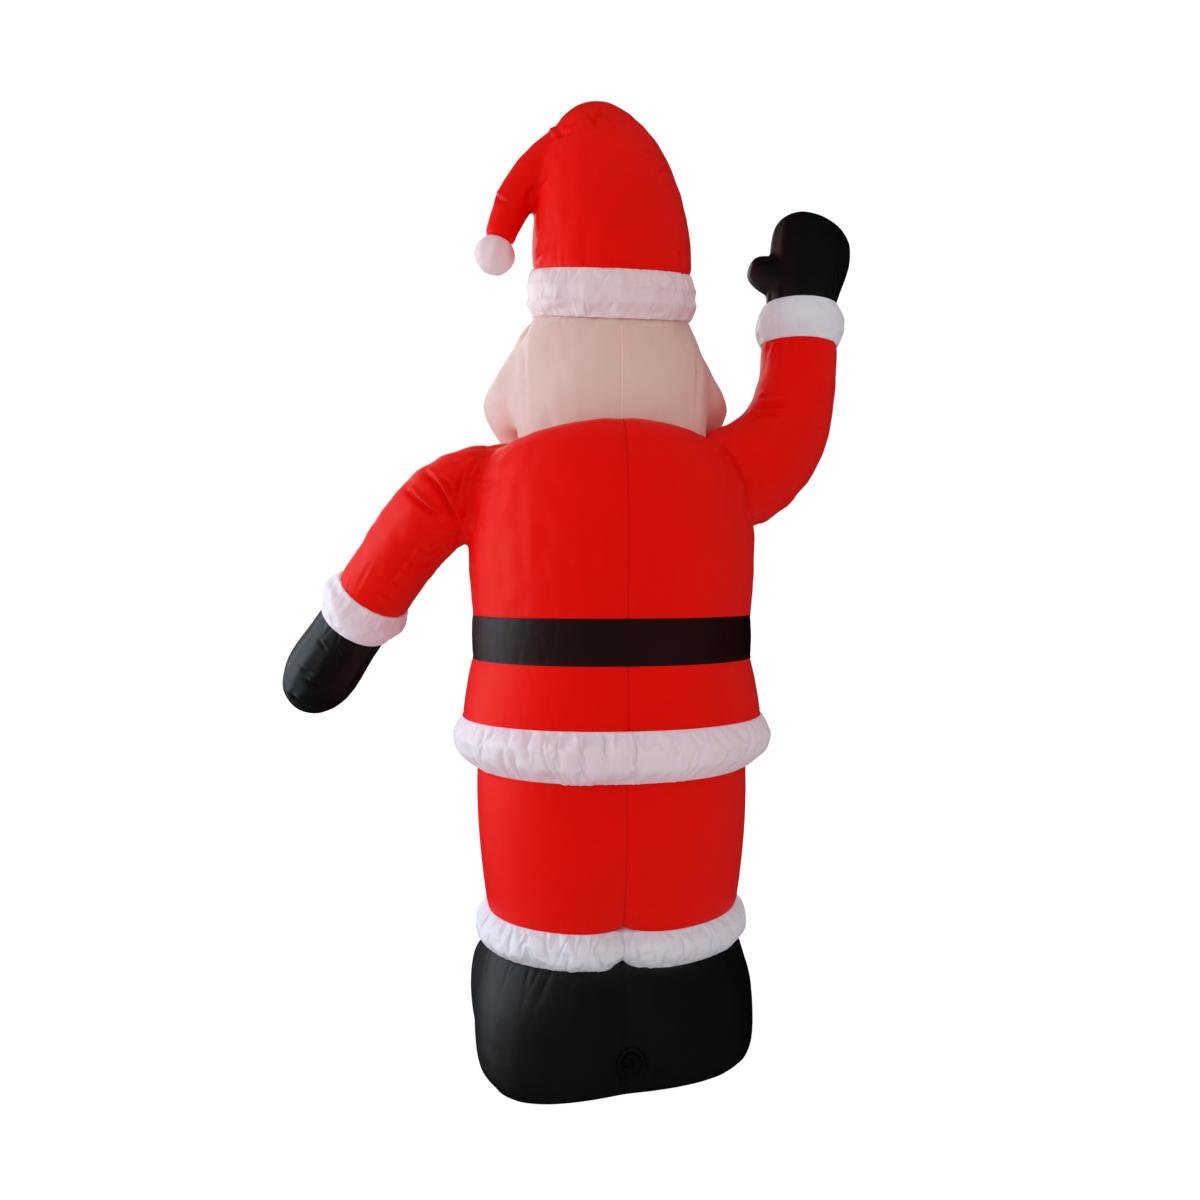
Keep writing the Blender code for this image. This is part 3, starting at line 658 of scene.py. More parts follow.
# The head's back seam: lighter than the ivory cloth and with a stronger glow, painted light as if shining
# through the seam.
PALE_SEAM = nylon("pale_seam", (0.72, 0.62, 0.56), (0.78, 0.68, 0.62), 0.55, 0.15,
                  glow=(0.1, 0.02, 0.01))
EYE_WHITE = nylon("eye_cloth", (0.8, 0.8, 0.78), (0.86, 0.86, 0.84), 0.5, 0.3)
EYE_DARK = nylon("pupil_cloth", (0.01, 0.01, 0.012), (0.016, 0.015, 0.018), 0.3, 0.6)
# The lower bands and cuffs take the painted-light copies of the white cloth; the belt takes the black cloth
# with its painted red cast.
BAND_CLOTHS = {"trouser_trim": FOOT_HEM_CLOTH, "coat_trim": COAT_HEM_CLOTH, "belt": BELT_CLOTH,
               "left_cuff": COAT_HEM_CLOTH, "right_cuff": FOOT_HEM_CLOTH}
LIP_CLOTH = nylon("lip_cloth", (0.56, 0.05, 0.05), (0.62, 0.07, 0.06), 0.48, 0.3)


def cloth_of(node):
    return BAND_CLOTHS.get(node, CLOTH[SLOTS.get(node, RED)])


# The body below the coat, one tube of cloth between each two seams

def height_of(node, top):
    low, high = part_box(node)
    return high[2] if top else low[2]


def level_rows(low, high, cell=CELL):
    return np.linspace(low, high, max(4, int(round((high - low) / cell)) + 1))


def level_section(node, cell=CELL):
    low = height_of(node, False) + MARGIN
    high = height_of(node, True) - MARGIN
    heights = level_rows(low, high, cell)
    points = fan(tree_of(node), heights, 0.0, BODY_SMOOTHING, 1.5)
    heights = np.linspace(low - MARGIN, high + MARGIN, len(heights))
    points[:, :, 2] = heights[:, None]
    return points


def gathered(points, band, seed):
    """A white band: gathers run in from both of its seams over uneven waves."""
    from_low, from_high = reaches(points)
    total, around = girth(points)
    middle = np.sin(np.pi * from_low / (from_low + from_high + 1e-9))
    field = puckers(from_low, around, total, band, seed)
    field += puckers(from_high, around, total, band, seed + 1)
    field += WAVES[band] * unevenness(points.shape[:2], 2.2, 7.0, seed + 2) * middle
    field += 1.4 * WAVES[band] * unevenness(points.shape[:2], 7.0, 9.0, seed + 3) * middle
    field *= 1.0 - np.exp(-np.minimum(from_low, from_high) / 0.004)
    return push(points, field)


def taut(points, seed):
    """A red or black panel: nearly smooth, with small puckers along its seams."""
    from_low, from_high = reaches(points)
    total, around = girth(points)
    field = 0.0006 * unevenness(points.shape[:2], 12.0, 12.0, seed)
    for reach, offset in ((from_low, 1), (from_high, 2)):
        field += puckers(reach, around, total, "panel", seed + offset)
        field += seam_dip(reach, 0.003, 0.006)
    ends = 1.0 - np.exp(-np.minimum(from_low, from_high) / 0.004)
    return push(points, field * ends)


LEG_CREASE_DEPTH = 0.016
LEG_CREASE_WIDTH = 0.02
# The crease runs up this share of the way from the ankles to the coat
LEG_CREASE_REACH = 0.6
BODY = {
    "trouser_trim": level_section("trouser_trim", BAND_CELL),
    "trousers": level_section("trousers"),
    "coat_trim": level_section("coat_trim", BAND_CELL),
    "coat_skirt": level_section("coat_skirt"),
    "belt": level_section("belt"),
}

# Neighbours share one seam line: the mean of what each has there
ORDER = tuple(BODY)
SEAMS = {}
for lower, upper in zip(ORDER, ORDER[1:]):
    SEAMS[lower] = 0.5 * (BODY[lower][-1] + BODY[upper][0])
for index, node in enumerate(ORDER):
    BODY[node] = meet(BODY[node], SEAMS.get(ORDER[index - 1]) if index else None, SEAMS.get(node))

# The crease between the legs is deepest at the ankles and gone at the coat
for node in ("trouser_trim", "trousers"):
    share = (BODY[node][:, :, 2] - height_of("trouser_trim", False)) / (
        height_of("trousers", True) - height_of("trouser_trim", False))
    depth = LEG_CREASE_DEPTH * np.maximum(0.0, 1.0 - share / LEG_CREASE_REACH) ** 1.3
    BODY[node] = push(BODY[node], valley(BODY[node][:, :, 0], depth, LEG_CREASE_WIDTH))
BODY["trouser_trim"] = gathered(BODY["trouser_trim"], "trouser_trim", 11)
BODY["coat_trim"] = gathered(BODY["coat_trim"], "coat_trim", 21)
for seed, node in enumerate(("trousers", "coat_skirt", "belt")):
    shape = taut(BODY[node], 31 + 5 * seed)
    if node != "belt":
        shape = push(shape, valley(shape[:, :, 0], 0.0026, 0.0065))
    BODY[node] = shape

PIECES = {node: grid_piece(node, BODY[node]) for node in ORDER}


# Boots

def boots_grid():
    low = height_of("boots", False)
    high = height_of("boots", True)
    heights = level_rows(low + 0.0005, high - 0.001, 0.0052)
    points = fan(tree_of("boots"), heights, 0.0, 4.5, 1.5)
    heights = np.linspace(low, high, len(heights))
    points[:, :, 2] = heights[:, None]
    points = meet(points, None, BODY["trouser_trim"][0])
    from_low, from_high = reaches(points)
    total, around = girth(points)
    field = 0.001 * unevenness(points.shape[:2], 13.0, 9.0, 71)
    field += puckers(from_high, around, total, "ankle", 72)
    field += seam_dip(from_high, 0.004, 0.007)
    field += puckers(from_low, around, total, "sole", 73)
    field += valley(points[:, :, 0], 0.003, 0.007)
    field *= 1.0 - np.exp(-np.minimum(from_low, from_high) / 0.006)
    return push(points, field)


BODY["boots"] = boots_grid()
PIECES["boots"] = grid_piece("boots", BODY["boots"])


# The coat with both sleeves, one red skin

# A place in each sleeve just before its cuff
WRISTS = {"left": (0.559, -0.09, 1.218), "right": (-0.494, 0.0, 1.72)}
# Seam between coat and sleeve: a point of its plane, and the plane's slope away from the body
ARMHOLES = {
    "left": ((0.352, 0.0, 1.385), (1.0, 0.0, 0.3)),
    "right": ((-0.345, 0.0, 1.44), (-1.0, 0.0, 0.35)),
}
COAT_LOW = height_of("coat", False)
COAT_HIGH = height_of("coat", True)
# The trunk ends this far from the middle, and only sleeves lie beyond
TRUNK_REACH = 0.4
TRUNK_RADIUS = 0.34
WRIST_RADIUS = 0.1
MITTEN_RADIUS = 0.09
ARMHOLE_RADIUS = 0.13
# Vertices this near to a section's end belong to it
NEAR = 0.003


def unit(vector):
    vector = np.array(vector, dtype=float)
    return vector / np.linalg.norm(vector)


def cuff_axis(side):
    """Start, end and direction of a cuff, from its own mesh."""
    points = coordinates(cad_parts[side + "_cuff"].data)
    points = np.unique(np.round(points, 6), axis=0)
    middle = 0.5 * (points.min(axis=0) + points.max(axis=0))
    axis = np.linalg.eigh(np.cov((points - points.mean(axis=0)).T))[1][:, 0]
    if axis @ (middle - np.array(WRISTS[side])) < 0.0:
        axis = -axis
    along = (points - middle) @ axis
    return middle + axis * along.min(), middle + axis * along.max(), axis


CUFFS = {side: cuff_axis(side) for side in WRISTS}


def tuck_coat(point):
    """Run the coat on under the belt, and each sleeve on into its cuff."""
    if point[2] < COAT_LOW + NEAR and abs(point[0]) < TRUNK_REACH:
        return point - np.array((0.0, 0.0, TUCK))
    for start, _, axis in CUFFS.values():
        if abs((point - start) @ axis) < NEAR and np.linalg.norm(point - start) < 0.14:
            return point + axis * TUCK
    return point


def sew_to_belt(points, tree):
    """Bring the coat's lower edge onto the belt's upper seam, and hide what lies below it."""
    seam = BODY["belt"][-1]
    across, deep = bearings(BODY_COLUMNS)
    directions = np.stack((across, deep, np.zeros(BODY_COLUMNS)), axis=-1)[None]
    origins = np.tile((0.0, 0.0, COAT_LOW + 0.001), (1, BODY_COLUMNS, 1))
    found = cast(tree, origins, directions, far=0.6)[0]
    gap = np.hypot(seam[:, 0], seam[:, 1]) - found
    angle = np.arctan2(points[:, 1], points[:, 0]) % FULL_TURN
    turns = np.append(FULL_TURN * np.arange(BODY_COLUMNS) / BODY_COLUMNS, FULL_TURN)
    gap = np.interp(angle, turns, np.append(gap, gap[0]))
    rise = points[:, 2] - COAT_LOW
    shift = gap * np.exp(-(np.maximum(rise, 0.0) / 0.03) ** 2) - 0.9 * np.maximum(-rise, 0.0)
    shift = np.where(np.abs(points[:, 0]) < TRUNK_REACH, shift, 0.0)
    flat = np.hypot(points[:, 0], points[:, 1])
    points[:, :2] *= (1.0 + shift / np.maximum(flat, 1e-6))[:, None]
    return points


# Creases of the coat and sleeves in the photograph: width and depth in millimetres, and pixels
COAT_FOLDS = (
    (7, 12.5, (424, 470), (436, 484), (447, 503), (458, 524)),
    (6.5, 10.5, (406, 489), (415, 499), (428, 510), (440, 517)),
    (6, 5, (432, 474), (446, 482), (455, 500)),
    (5.5, 8.5, (464, 470), (458, 486), (457, 504)),
    (5, 5.5, (478, 458), (469, 472), (465, 492)),
    (6, 2.6, (420, 540), (409, 556), (396, 575), (381, 592)),
    (4.5, 2.2, (427, 550), (413, 546)),
    (4.5, 2.4, (414, 563), (405, 558)),
    (4.5, 1.6, (409, 573), (392, 566)),
    (4.5, 2.2, (399, 585), (390, 580)),
    (4.5, 3.5, (442, 548), (430, 556)),
    (4.5, 3, (436, 560), (424, 566)),
    (4.5, 2.5, (392, 600), (379, 592)),
    (6, 1.8, (372, 560), (362, 578), (356, 590)),
    (6, 5.5, (757, 409), (772, 405), (790, 404)),
    (6, 4.5, (749, 417), (765, 414), (784, 415)),
    (5, 3, (757, 398), (768, 396)),
    (6, 3, (740, 431), (757, 427), (772, 428)),
    (6, 2.5, (731, 436), (724, 444), (712, 448)),
    (8, 3, (752, 535), (748, 512), (748, 488), (752, 470)),
    (5.5, 3, (793, 508), (784, 497)),
    (5.5, 3, (812, 478), (800, 468)),
    (5.5, 2.5, (826, 430), (812, 424)),
    (5.5, 2.5, (829, 395), (817, 391)),
    (4.5, 3, (771, 342), (768, 352)),
    (4.5, 2.5, (790, 338), (789, 352)),
    (4.5, 2.5, (815, 337), (817, 350)),
)


def build_coat():
    """Smooth over the chest, drawn in at the armholes and creased where the sleeves bend."""
    coat = soft_skin("coat_cloth", "coat", tuck_coat)
    mesh = coat.data
    points = sew_to_belt(coordinates(mesh), mesh_tree(mesh))
    put_back(mesh, points)
    normals = mesh_normals(mesh)
    field = slow_waves(mesh, 41, 0.0007)
    behind = np.abs(normals[:, 1]) * (np.abs(points[:, 0]) < 0.03)
    field += behind * valley(points[:, 0], 0.003, 0.0075)
    rise = np.maximum(points[:, 2] - COAT_LOW, 0.0)
    waist = puckers_round(rise, np.arctan2(points[:, 1], points[:, 0]), TRUNK_RADIUS, "panel", 43)
    on_trunk = np.abs(points[:, 0]) < TRUNK_REACH
    field = np.where(on_trunk, (field + waist) * (1.0 - np.exp(-rise / 0.01)), field)
    for seed, (side, (start, _, axis)) in enumerate(CUFFS.items()):
        away = points - start
        before = -away @ axis
        level = np.cross(axis, (0.0, 1.0, 0.0))
        turn = np.arctan2(away[:, 1], away @ level)
        wrist = puckers_round(np.maximum(before, 0.0), turn, WRIST_RADIUS, "wrist", 51 + seed)
        wrist += seam_dip(np.maximum(before, 0.0), 0.003, 0.006)
        field += np.where((np.linalg.norm(away, axis=1) < 0.3) & (before > -0.01), wrist, 0.0)
        place, slope = ARMHOLES[side]
        away = points - np.array(place)
        distance = np.abs(away @ unit(slope))
        turn = np.arctan2(away[:, 2], away[:, 1])
        tucks = puckers_round(distance, turn, ARMHOLE_RADIUS, "armhole", 61 + seed)
        tucks += seam_dip(distance, 0.005, 0.008)
        around_arm = np.hypot(away[:, 1], away[:, 2]) < 0.19
        field += np.where(around_arm, tucks * (1.0 if side == "left" else 0.35), 0.0)
    return shape_skin(coat, points, normals, field, COAT_FOLDS)


PIECES["coat"] = build_coat()


def cuff_grid(side):
    """A grid read round a cuff's axis, each row square to it."""
    start, end, _ = CUFFS[side]
    across, deep = bearings(ARM_COLUMNS)
    path = np.linspace(start, end, int(round(np.linalg.norm(end - start) / 0.0034)))
    tangents = np.gradient(path, axis=0)
    tangents /= np.linalg.norm(tangents, axis=1, keepdims=True)
    level = np.cross(tangents, (0.0, 1.0, 0.0))
    level /= np.linalg.norm(level, axis=1, keepdims=True)
    depth = np.cross(level, tangents)
    # Anticlockwise seen from the far end, so that normals point out
    directions = level[:, None] * across[None, :, None] - depth[:, None] * deep[None, :, None]
    origins = np.broadcast_to(path[:, None], directions.shape)
    distances = blur(cast(tree_of(side + "_cuff"), origins, directions, far=0.2), 3.0, 2.6)
    return origins + directions * distances[:, :, None]


# Creases of the two mittens in the photograph
MITTEN_FOLDS = {
    "left": (
        (6, 8, (291, 696), (300, 703), (312, 709)),
        (5.5, 6, (305, 681), (314, 686), (325, 690)),
        (5, 2.5, (300, 668), (312, 674)),
        (5, 2.5, (318, 640), (326, 650)),
        (5, 2.5, (336, 650), (342, 661)),
    ),
    "right": (
        (5.5, 3.5, (762, 303), (766, 292), (764, 282)),
        (6, 6, (775, 258), (768, 262), (760, 262)),
        (5, 3, (826, 296), (829, 286)),
        (5, 3, (800, 297), (801, 284)),
        (5, 3, (782, 300), (783, 288)),
        (5, 2.5, (842, 285), (838, 270)),
    ),
}


def build_hand(side, seed):
    """Cuff and mitten."""
    end, axis = CUFFS[side][1:]
    cuff = gathered(cuff_grid(side), "cuff", seed + 5)
    PIECES[side + "_cuff"] = grid_piece(side + "_cuff", cuff)

    def tuck(point):
        return point - axis * TUCK if (point - end) @ axis < NEAR else point

    mitten = soft_skin(side + "_mitten_cloth", side + "_mitten", tuck)
    points = coordinates(mitten.data)
    normals = mesh_normals(mitten.data)
    away = points - end
    level = unit(np.cross(axis, (0.0, 1.0, 0.0)))
    deep = away @ np.cross(level, axis)
    turn = np.arctan2(deep, away @ level)
    field = puckers_round(np.maximum(away @ axis, 0.0), turn, MITTEN_RADIUS, "mitten", seed + 8)
    # A seam runs round the mitten's edge
    field += valley(deep, 0.0016, 0.006)
    PIECES[side + "_mitten"] = shape_skin(mitten, points, normals, field, MITTEN_FOLDS[side])


build_hand("left", 101)
build_hand("right", 131)


# Head, beard and hat

HAT_SLOPE = math.tan(math.radians(16.0))
HAT_TRIM_MESH = coordinates(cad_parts["hat_trim"].data)
HAT_TRIM_LEVELS = HAT_TRIM_MESH[:, 2] + HAT_SLOPE * HAT_TRIM_MESH[:, 1]
HAIRLINE = HAT_TRIM_LEVELS.min()
HAT_BASE = HAT_TRIM_LEVELS.max()
# The head's back panel ends in a seam on each side of the photograph
HEAD_FOLDS = (
    (6.5, 3, (523, 335), (524, 380), (527, 428)),
    (6.5, 3, (700, 335), (699, 380), (696, 428)),
    (5, 2.2, (519, 378), (531, 380)),
    (5, 2.2, (518, 386), (532, 387)),
    (5, 1.8, (519, 393), (530, 394)),
    (5, 1.8, (695, 372), (706, 377)),
)
HEAD_RADIUS = 0.2
# What runs on inside the hat's band also draws in towards the axis
INWARD = np.array((0.93, 0.93, 1.0))
# The hair is drawn in by this much under the hat's band
HAIR_DRAW = 0.014


def tuck_head(point):
    """Run the head on into the coat below it and into the hat's band above it."""
    level = point[2] + HAT_SLOPE * point[1]
    if abs(level - HAIRLINE) < NEAR:
        return point * INWARD + np.array((0.0, 0.0, TUCK))
    if point[2] < COAT_HIGH + NEAR and abs(point[0]) < 0.245 and point[1] > -0.04:
        return point - np.array((0.0, 0.0, 0.04))
    return point


def tuck_hat(point):
    level = point[2] + HAT_SLOPE * point[1]
    return point * INWARD - np.array((0.0, 0.0, TUCK)) if level < HAT_BASE + NEAR else point


def behind(points):
    """How far a point is behind the head's middle, from 0 to 1."""
    return np.clip((points[..., 1] + 0.02) / 0.08, 0.0, 1.0)


def beard_channels(points):
    """Sewn channels fall down the front of the beard and close in towards its tip."""
    low = height_of("beard", False)
    share = np.clip((points[:, 2] - low) / (COAT_HIGH + 0.1 - low), 0.0, 1.3)
    half_width = 0.055 + 0.26 * share
    field = np.zeros(len(points))
    for place in (-0.72, -0.36, 0.0, 0.36, 0.72):
        wander = 0.05 * np.sin(5.0 * share + 7.0 * place)
        field += valley(points[:, 0] - (place + wander) * half_width, 0.0075, 0.011)
    front = np.clip((-points[:, 1] - 0.17) / 0.05, 0.0, 1.0)
    fade = np.clip((1.12 - share) / 0.2, 0.0, 1.0) * np.clip(share / 0.12, 0.0, 1.0)
    return field * front * fade


def build_head():
    """The hair at the back and the beard round the face, one ivory skin."""
    head = soft_skin("head_and_beard_cloth", "head", tuck_head)
    mesh = head.data
    # Blown cloth has no hollows, so the ones between hair and beard are filled
    for _ in range(5):
        points = coordinates(mesh)
        normals = mesh_normals(mesh)
        hollow = np.sum((relaxed(points, mesh, 260) - points) * normals, axis=1, keepdims=True)
        reached = np.clip((points[:, 1:2] + 0.1) / 0.08, 0.0, 1.0)
        put_back(mesh, points + normals * np.maximum(hollow, 0.0) * reached)
    # The beard's lumps at the sides are rounded and swell
    points = coordinates(mesh)
    lump = np.clip((np.abs(points[:, 0:1]) - 0.17) / 0.06, 0.0, 1.0)
    points += lump * (relaxed(points, mesh, 160) - points)
    put_back(mesh, points)
    points += 0.01 * lump * mesh_normals(mesh)
    put_back(mesh, points)
    normals = mesh_normals(mesh)
    field = slow_waves(mesh, 81, 0.0008)
    below_hat = np.maximum(HAIRLINE - points[:, 2] - HAT_SLOPE * points[:, 1], 0.0)
    angle = np.arctan2(points[:, 1], points[:, 0])
    field += puckers_round(below_hat, angle, HEAD_RADIUS, "hairline", 82)
    field += valley(below_hat, HAIR_DRAW * behind(points), 0.045)
    above_coat = np.maximum(points[:, 2] - COAT_HIGH + 0.045 * (points[:, 0] / 0.26) ** 2, 0.0)
    back = points[:, 1] > 0.0
    field += back * puckers_round(above_coat, angle, HEAD_RADIUS, "neckline", 84)
    field += back * valley(points[:, 0], 0.0022, 0.006)
    field += beard_channels(points)
    return shape_skin(head, points, normals, field, HEAD_FOLDS, 0.3)


PIECES["head"] = build_head()

# Creases of the hat in the photograph
HAT_FOLDS = (
    (7, 5, (548, 141), (560, 133), (572, 131)),
    (7, 6, (562, 138), (558, 131), (559, 124)),
    (6, 6, (575, 118), (566, 124), (560, 131)),
    (5, 5, (592, 121), (599, 114), (603, 108)),
    (5, 4.5, (588, 112), (594, 119), (598, 126)),
    (5, 3, (606, 112), (612, 120)),
    (6, 7, (490, 191), (499, 199), (512, 203)),
    (6, 5, (538, 184), (530, 193), (527, 205)),
    (5.5, 3.5, (546, 176), (538, 188)),
    (6.5, 4.5, (533, 262), (541, 250), (545, 240)),
    (6, 3.5, (541, 267), (549, 256)),
    (6, 3, (684, 268), (679, 250)),
    (6, 4.5, (668, 166), (659, 172)),
    (6, 3.5, (677, 182), (668, 186)),
    (6, 3, (690, 214), (680, 216)),
    (6, 4, (628, 116), (622, 124)),
    (6, 3, (655, 148), (645, 153)),
)


def build_hat():
    hat = soft_skin("hat_cloth", "hat", tuck_hat)
    mesh = hat.data
    points = coordinates(mesh)
    normals = mesh_normals(mesh)
    field = slow_waves(mesh, 91, 0.0008)
    reach = np.maximum(points[:, 2] + HAT_SLOPE * points[:, 1] - HAT_BASE, 0.0)
    angle = np.arctan2(points[:, 1], points[:, 0])
    # The tail hangs beyond the cap on its left
    on_cap = points[:, 0] < 0.21
    field += on_cap * puckers_round(reach, angle, HEAD_RADIUS, "hat", 92)
    field += seam_dip(reach, 0.003, 0.006)
    return shape_skin(hat, points, normals, field, HAT_FOLDS)


PIECES["hat"] = build_hat()


def hat_trim_grid():
    """The band's seams drop towards the back, where it is rounder than its solid."""
    heights = level_rows(HAIRLINE + MARGIN, HAT_BASE - MARGIN, 0.0034)
    points = fan(tree_of("hat_trim"), heights, -HAT_SLOPE * bearings(BODY_COLUMNS)[1], 5.0, 1.2)
    from_low, from_high = reaches(points)
    return push(points, -behind(points) * (HAIR_DRAW * np.exp(-(from_low / 0.024) ** 1.5)
                                           + 0.004 * np.exp(-(from_high / 0.016) ** 1.5)))


PIECES["hat_trim"] = grid_piece("hat_trim", gathered(hat_trim_grid(), "hat_trim", 61))
for node in ("hat_pompom", "face", "nose", "moustache", "belt_buckle"):
    PIECES[node] = soft_skin(node + "_cloth", node)

# The face's sides are drawn in beyond this width, to lie under the hair and beard
FACE_REACH = 0.145
face_points = coordinates(PIECES["face"].data)
spread = np.abs(face_points[:, 0])
beyond = np.maximum(spread - FACE_REACH, 0.0)
face_points[:, 0] = np.sign(face_points[:, 0]) * (np.minimum(spread, FACE_REACH) + 0.3 * beyond)
put_back(PIECES["face"].data, face_points)


# Sewn features of the face, the port and the seams' welts

def skin_point(tree, x, z, direction):
    """Where a level ray along Y meets a surface, and the surface's normal there."""
    hit = tree.ray_cast(Vector((x, -0.6 * direction, z)), Vector((0.0, direction, 0.0)))
    return np.array(hit[0]), np.array(hit[1])


# The way that the figure faces
FORWARD_Y = np.array((0.0, -1.0, 0.0))


def pad(name, tree, middle, half_width, half_height, thickness, material, tilt=0.0, arch=0.0):
    """A padded oval sewn onto the front of the face or beard."""
    rings = 9
    columns = 40
    vertices = []
    for ring in range(1, rings + 1):
        size = math.sin(0.25 * FULL_TURN * ring / rings)
        height = thickness * math.cos(0.25 * FULL_TURN * ring / rings) ** 0.8
        for column in range(columns):
            angle = FULL_TURN * column / columns
            across = half_width * size * math.cos(angle)
            up = half_height * size * math.sin(angle) - arch * (across / half_width) ** 2
            x = middle[0] + across * math.cos(tilt) - up * math.sin(tilt)
            z = middle[1] + across * math.sin(tilt) + up * math.cos(tilt)
            lift = height + 0.0004 if ring < rings else -0.002
            vertices.append(tuple(skin_point(tree, x, z, 1.0)[0] + FORWARD_Y * lift))
    faces = grid_faces(rings, columns)[:, ::-1].tolist()
    place = skin_point(tree, *middle, 1.0)[0]
    close_ends(vertices, faces, rings, columns, (place + FORWARD_Y * thickness, place - FORWARD_Y * 0.004))
    return turned_outward(add_mesh(name, vertices, faces, material))


FACE_TREE = mesh_tree(PIECES["face"].data)
BEARD_TREE = mesh_tree(PIECES["head"].data)
EYE_LEVEL = COAT_HIGH + 0.268
# Each pad of the figure's left eye: its place across and above eye level, its half width, half height,
# thickness, cloth, tilt, arch and slot
EYE_PADS = {
    "eye": (0.058, 0.0, 0.024, 0.021, 0.005, EYE_WHITE, 0.0, 0.0, SKIN),
    "pupil": (0.056, -0.001, 0.0125, 0.0145, 0.0078, EYE_DARK, 0.0, 0.0, BLACK),
    "brow": (0.062, 0.047, 0.042, 0.012, 0.012, CLOTH[WHITE], -0.16, 0.01, WHITE),
}
TRIMMINGS = []
for side, sign in (("left", 1.0), ("right", -1.0)):
    for name, (across, above, *size, cloth, tilt, arch, slot) in EYE_PADS.items():
        middle = (sign * across, EYE_LEVEL + above)
        oval = pad(name + "_" + side, FACE_TREE, middle, *size, cloth, sign * tilt, arch)
        TRIMMINGS.append((oval, slot))
TRIMMINGS.append((pad("lower_lip", BEARD_TREE, (0.0, COAT_HIGH + 0.108), 0.036, 0.014, 0.01, LIP_CLOTH,
                      0.0, -0.006), SKIN))


WELT_WIDTH = 0.0042
WELT_HEIGHT = 0.001
# A welt's section, in shares of its width and height
WELT_SECTION = ((-0.5, -0.8), (-0.42, 0.5), (-0.15, 1.0), (0.15, 1.0), (0.42, 0.5), (0.5, -0.8))


def back_welt(node, low, high, material, slot):
    """The narrow raised seam down the middle of a piece's back."""
    tree = mesh_tree(PIECES[node].data)
    found = [skin_point(tree, 0.0, height, -1.0) for height in np.arange(low, high, 0.006)]
    places = np.array([place for place, _ in found])
    normals = np.array([normal * (0.0, 1.0, 1.0) / np.hypot(normal[1], normal[2]) for _, normal in found])
    side = np.cross(np.gradient(places, axis=0), normals)
    side /= np.linalg.norm(side, axis=1, keepdims=True)
    points = np.stack([places + side * WELT_WIDTH * across + normals * WELT_HEIGHT * up
                       for across, up in WELT_SECTION], axis=1)
    rows, columns, _ = points.shape
    faces = grid_faces(rows, columns).tolist()
    faces += [list(range(columns)), list(range((rows - 1) * columns, rows * columns))]
    piece = add_mesh(node + "_back_seam", points.reshape(-1, 3).tolist(), faces, material)
    TRIMMINGS.append((turned_outward(piece), slot))


back_welt("coat", COAT_LOW + NEAR, COAT_HIGH - 0.004 - NEAR, RED_SEAM, RED)
for node in ("coat_skirt", "trousers"):
    back_welt(node, height_of(node, False) + NEAR, height_of(node, True) - NEAR, RED_SEAM, RED)
back_welt("head", COAT_HIGH - 0.01, HAIRLINE - 0.055, PALE_SEAM, IVORY)
back_welt("boots", 0.115, height_of("boots", True) - 0.006, CLOTH[BLACK], BLACK)


PORT_MIDDLE = (-0.012, 0.068)
PORT_RADIUS = 0.039
PLEAT_HEIGHT = 0.0038
# How far the port stands out of the boots at each share of its radius
PORT_PROFILE = {0.0: 0.002, 0.2: -0.01, 0.45: -0.012, 0.75: 0.003, 0.9: 0.01, 1.0: -0.004}


def air_port():
    """A short cloth inlet drawn shut: pleats run in to its middle."""
    x_middle, z_middle = PORT_MIDDLE
    rings = 22
    columns = 96
    angles = FULL_TURN * np.arange(columns) / columns
    rng = np.random.default_rng(95)
    pleats = sum(rng.uniform(0.4, 1.0) * np.cos(turns * angles + rng.uniform(0, 6))
                 for turns in (7, 9, 11, 14)) / 2.5
    shares = np.linspace(0, 1, rings)
    profile = np.interp(shares, list(PORT_PROFILE), list(PORT_PROFILE.values()))
    back = skin_point(mesh_tree(PIECES["boots"].data), x_middle, z_middle + 0.045, -1.0)[0][1]
    vertices = []
    for share, out, size in zip(shares, profile, np.linspace(0.0015, PORT_RADIUS, rings)):
        for angle, pleat in zip(angles, pleats):
            radius = size * (1.0 + 0.05 * pleat)
            depth = out + PLEAT_HEIGHT * pleat * math.sin(math.pi * share) + 0.002
            vertices.append((x_middle + radius * math.cos(angle) * 0.86, back + depth,
                             z_middle + radius * math.sin(angle) * 1.08))
    faces = grid_faces(rings, columns).tolist()
    middles = [(x_middle, back + depth, z_middle) for depth in (profile[0], -0.02)]
    close_ends(vertices, faces, rings, columns, middles)
    return turned_outward(add_mesh("air_port", vertices, faces, CLOTH[BLACK]))


TRIMMINGS.append((air_port(), BLACK))

UPRIGHT = np.array((0.0, 0.0, 1.0))
# Of each gathered band: its middle and axis, the middle and width in pixels of the patch where its gathers
# are thickest, the share of spare cloth, the room that it has to move and the rounds of smoothing
BANDS = {
    "trouser_trim": (np.zeros(3), UPRIGHT, (600, 110), 0.17, 0.014, 0),
    "coat_trim": (np.zeros(3), UPRIGHT, (585, 75), 0.17, 0.014, 0),
    "hat_trim": (np.zeros(3), UPRIGHT, (615, 90), 0.09, 0.008, 2),
    "left_cuff": (CUFFS["left"][0], CUFFS["left"][2], None, 0.12, 0.007, 1),
    "right_cuff": (CUFFS["right"][0], CUFFS["right"][2], None, 0.07, 0.006, 2),
}
blow_up([(PIECES[node], spare_cloth(PIECES[node], middle, axis, patch, 201 + index), most, room, rounds)
         for index, (node, (middle, axis, patch, most, room, rounds)) in enumerate(BANDS.items())])

for node, piece in PIECES.items():
    dress(piece, SLOTS.get(node, RED), *STANDS_FOR.get(node, (node,)))
for piece, slot in TRIMMINGS:
    dress(piece, slot)


# Stage, light and camera

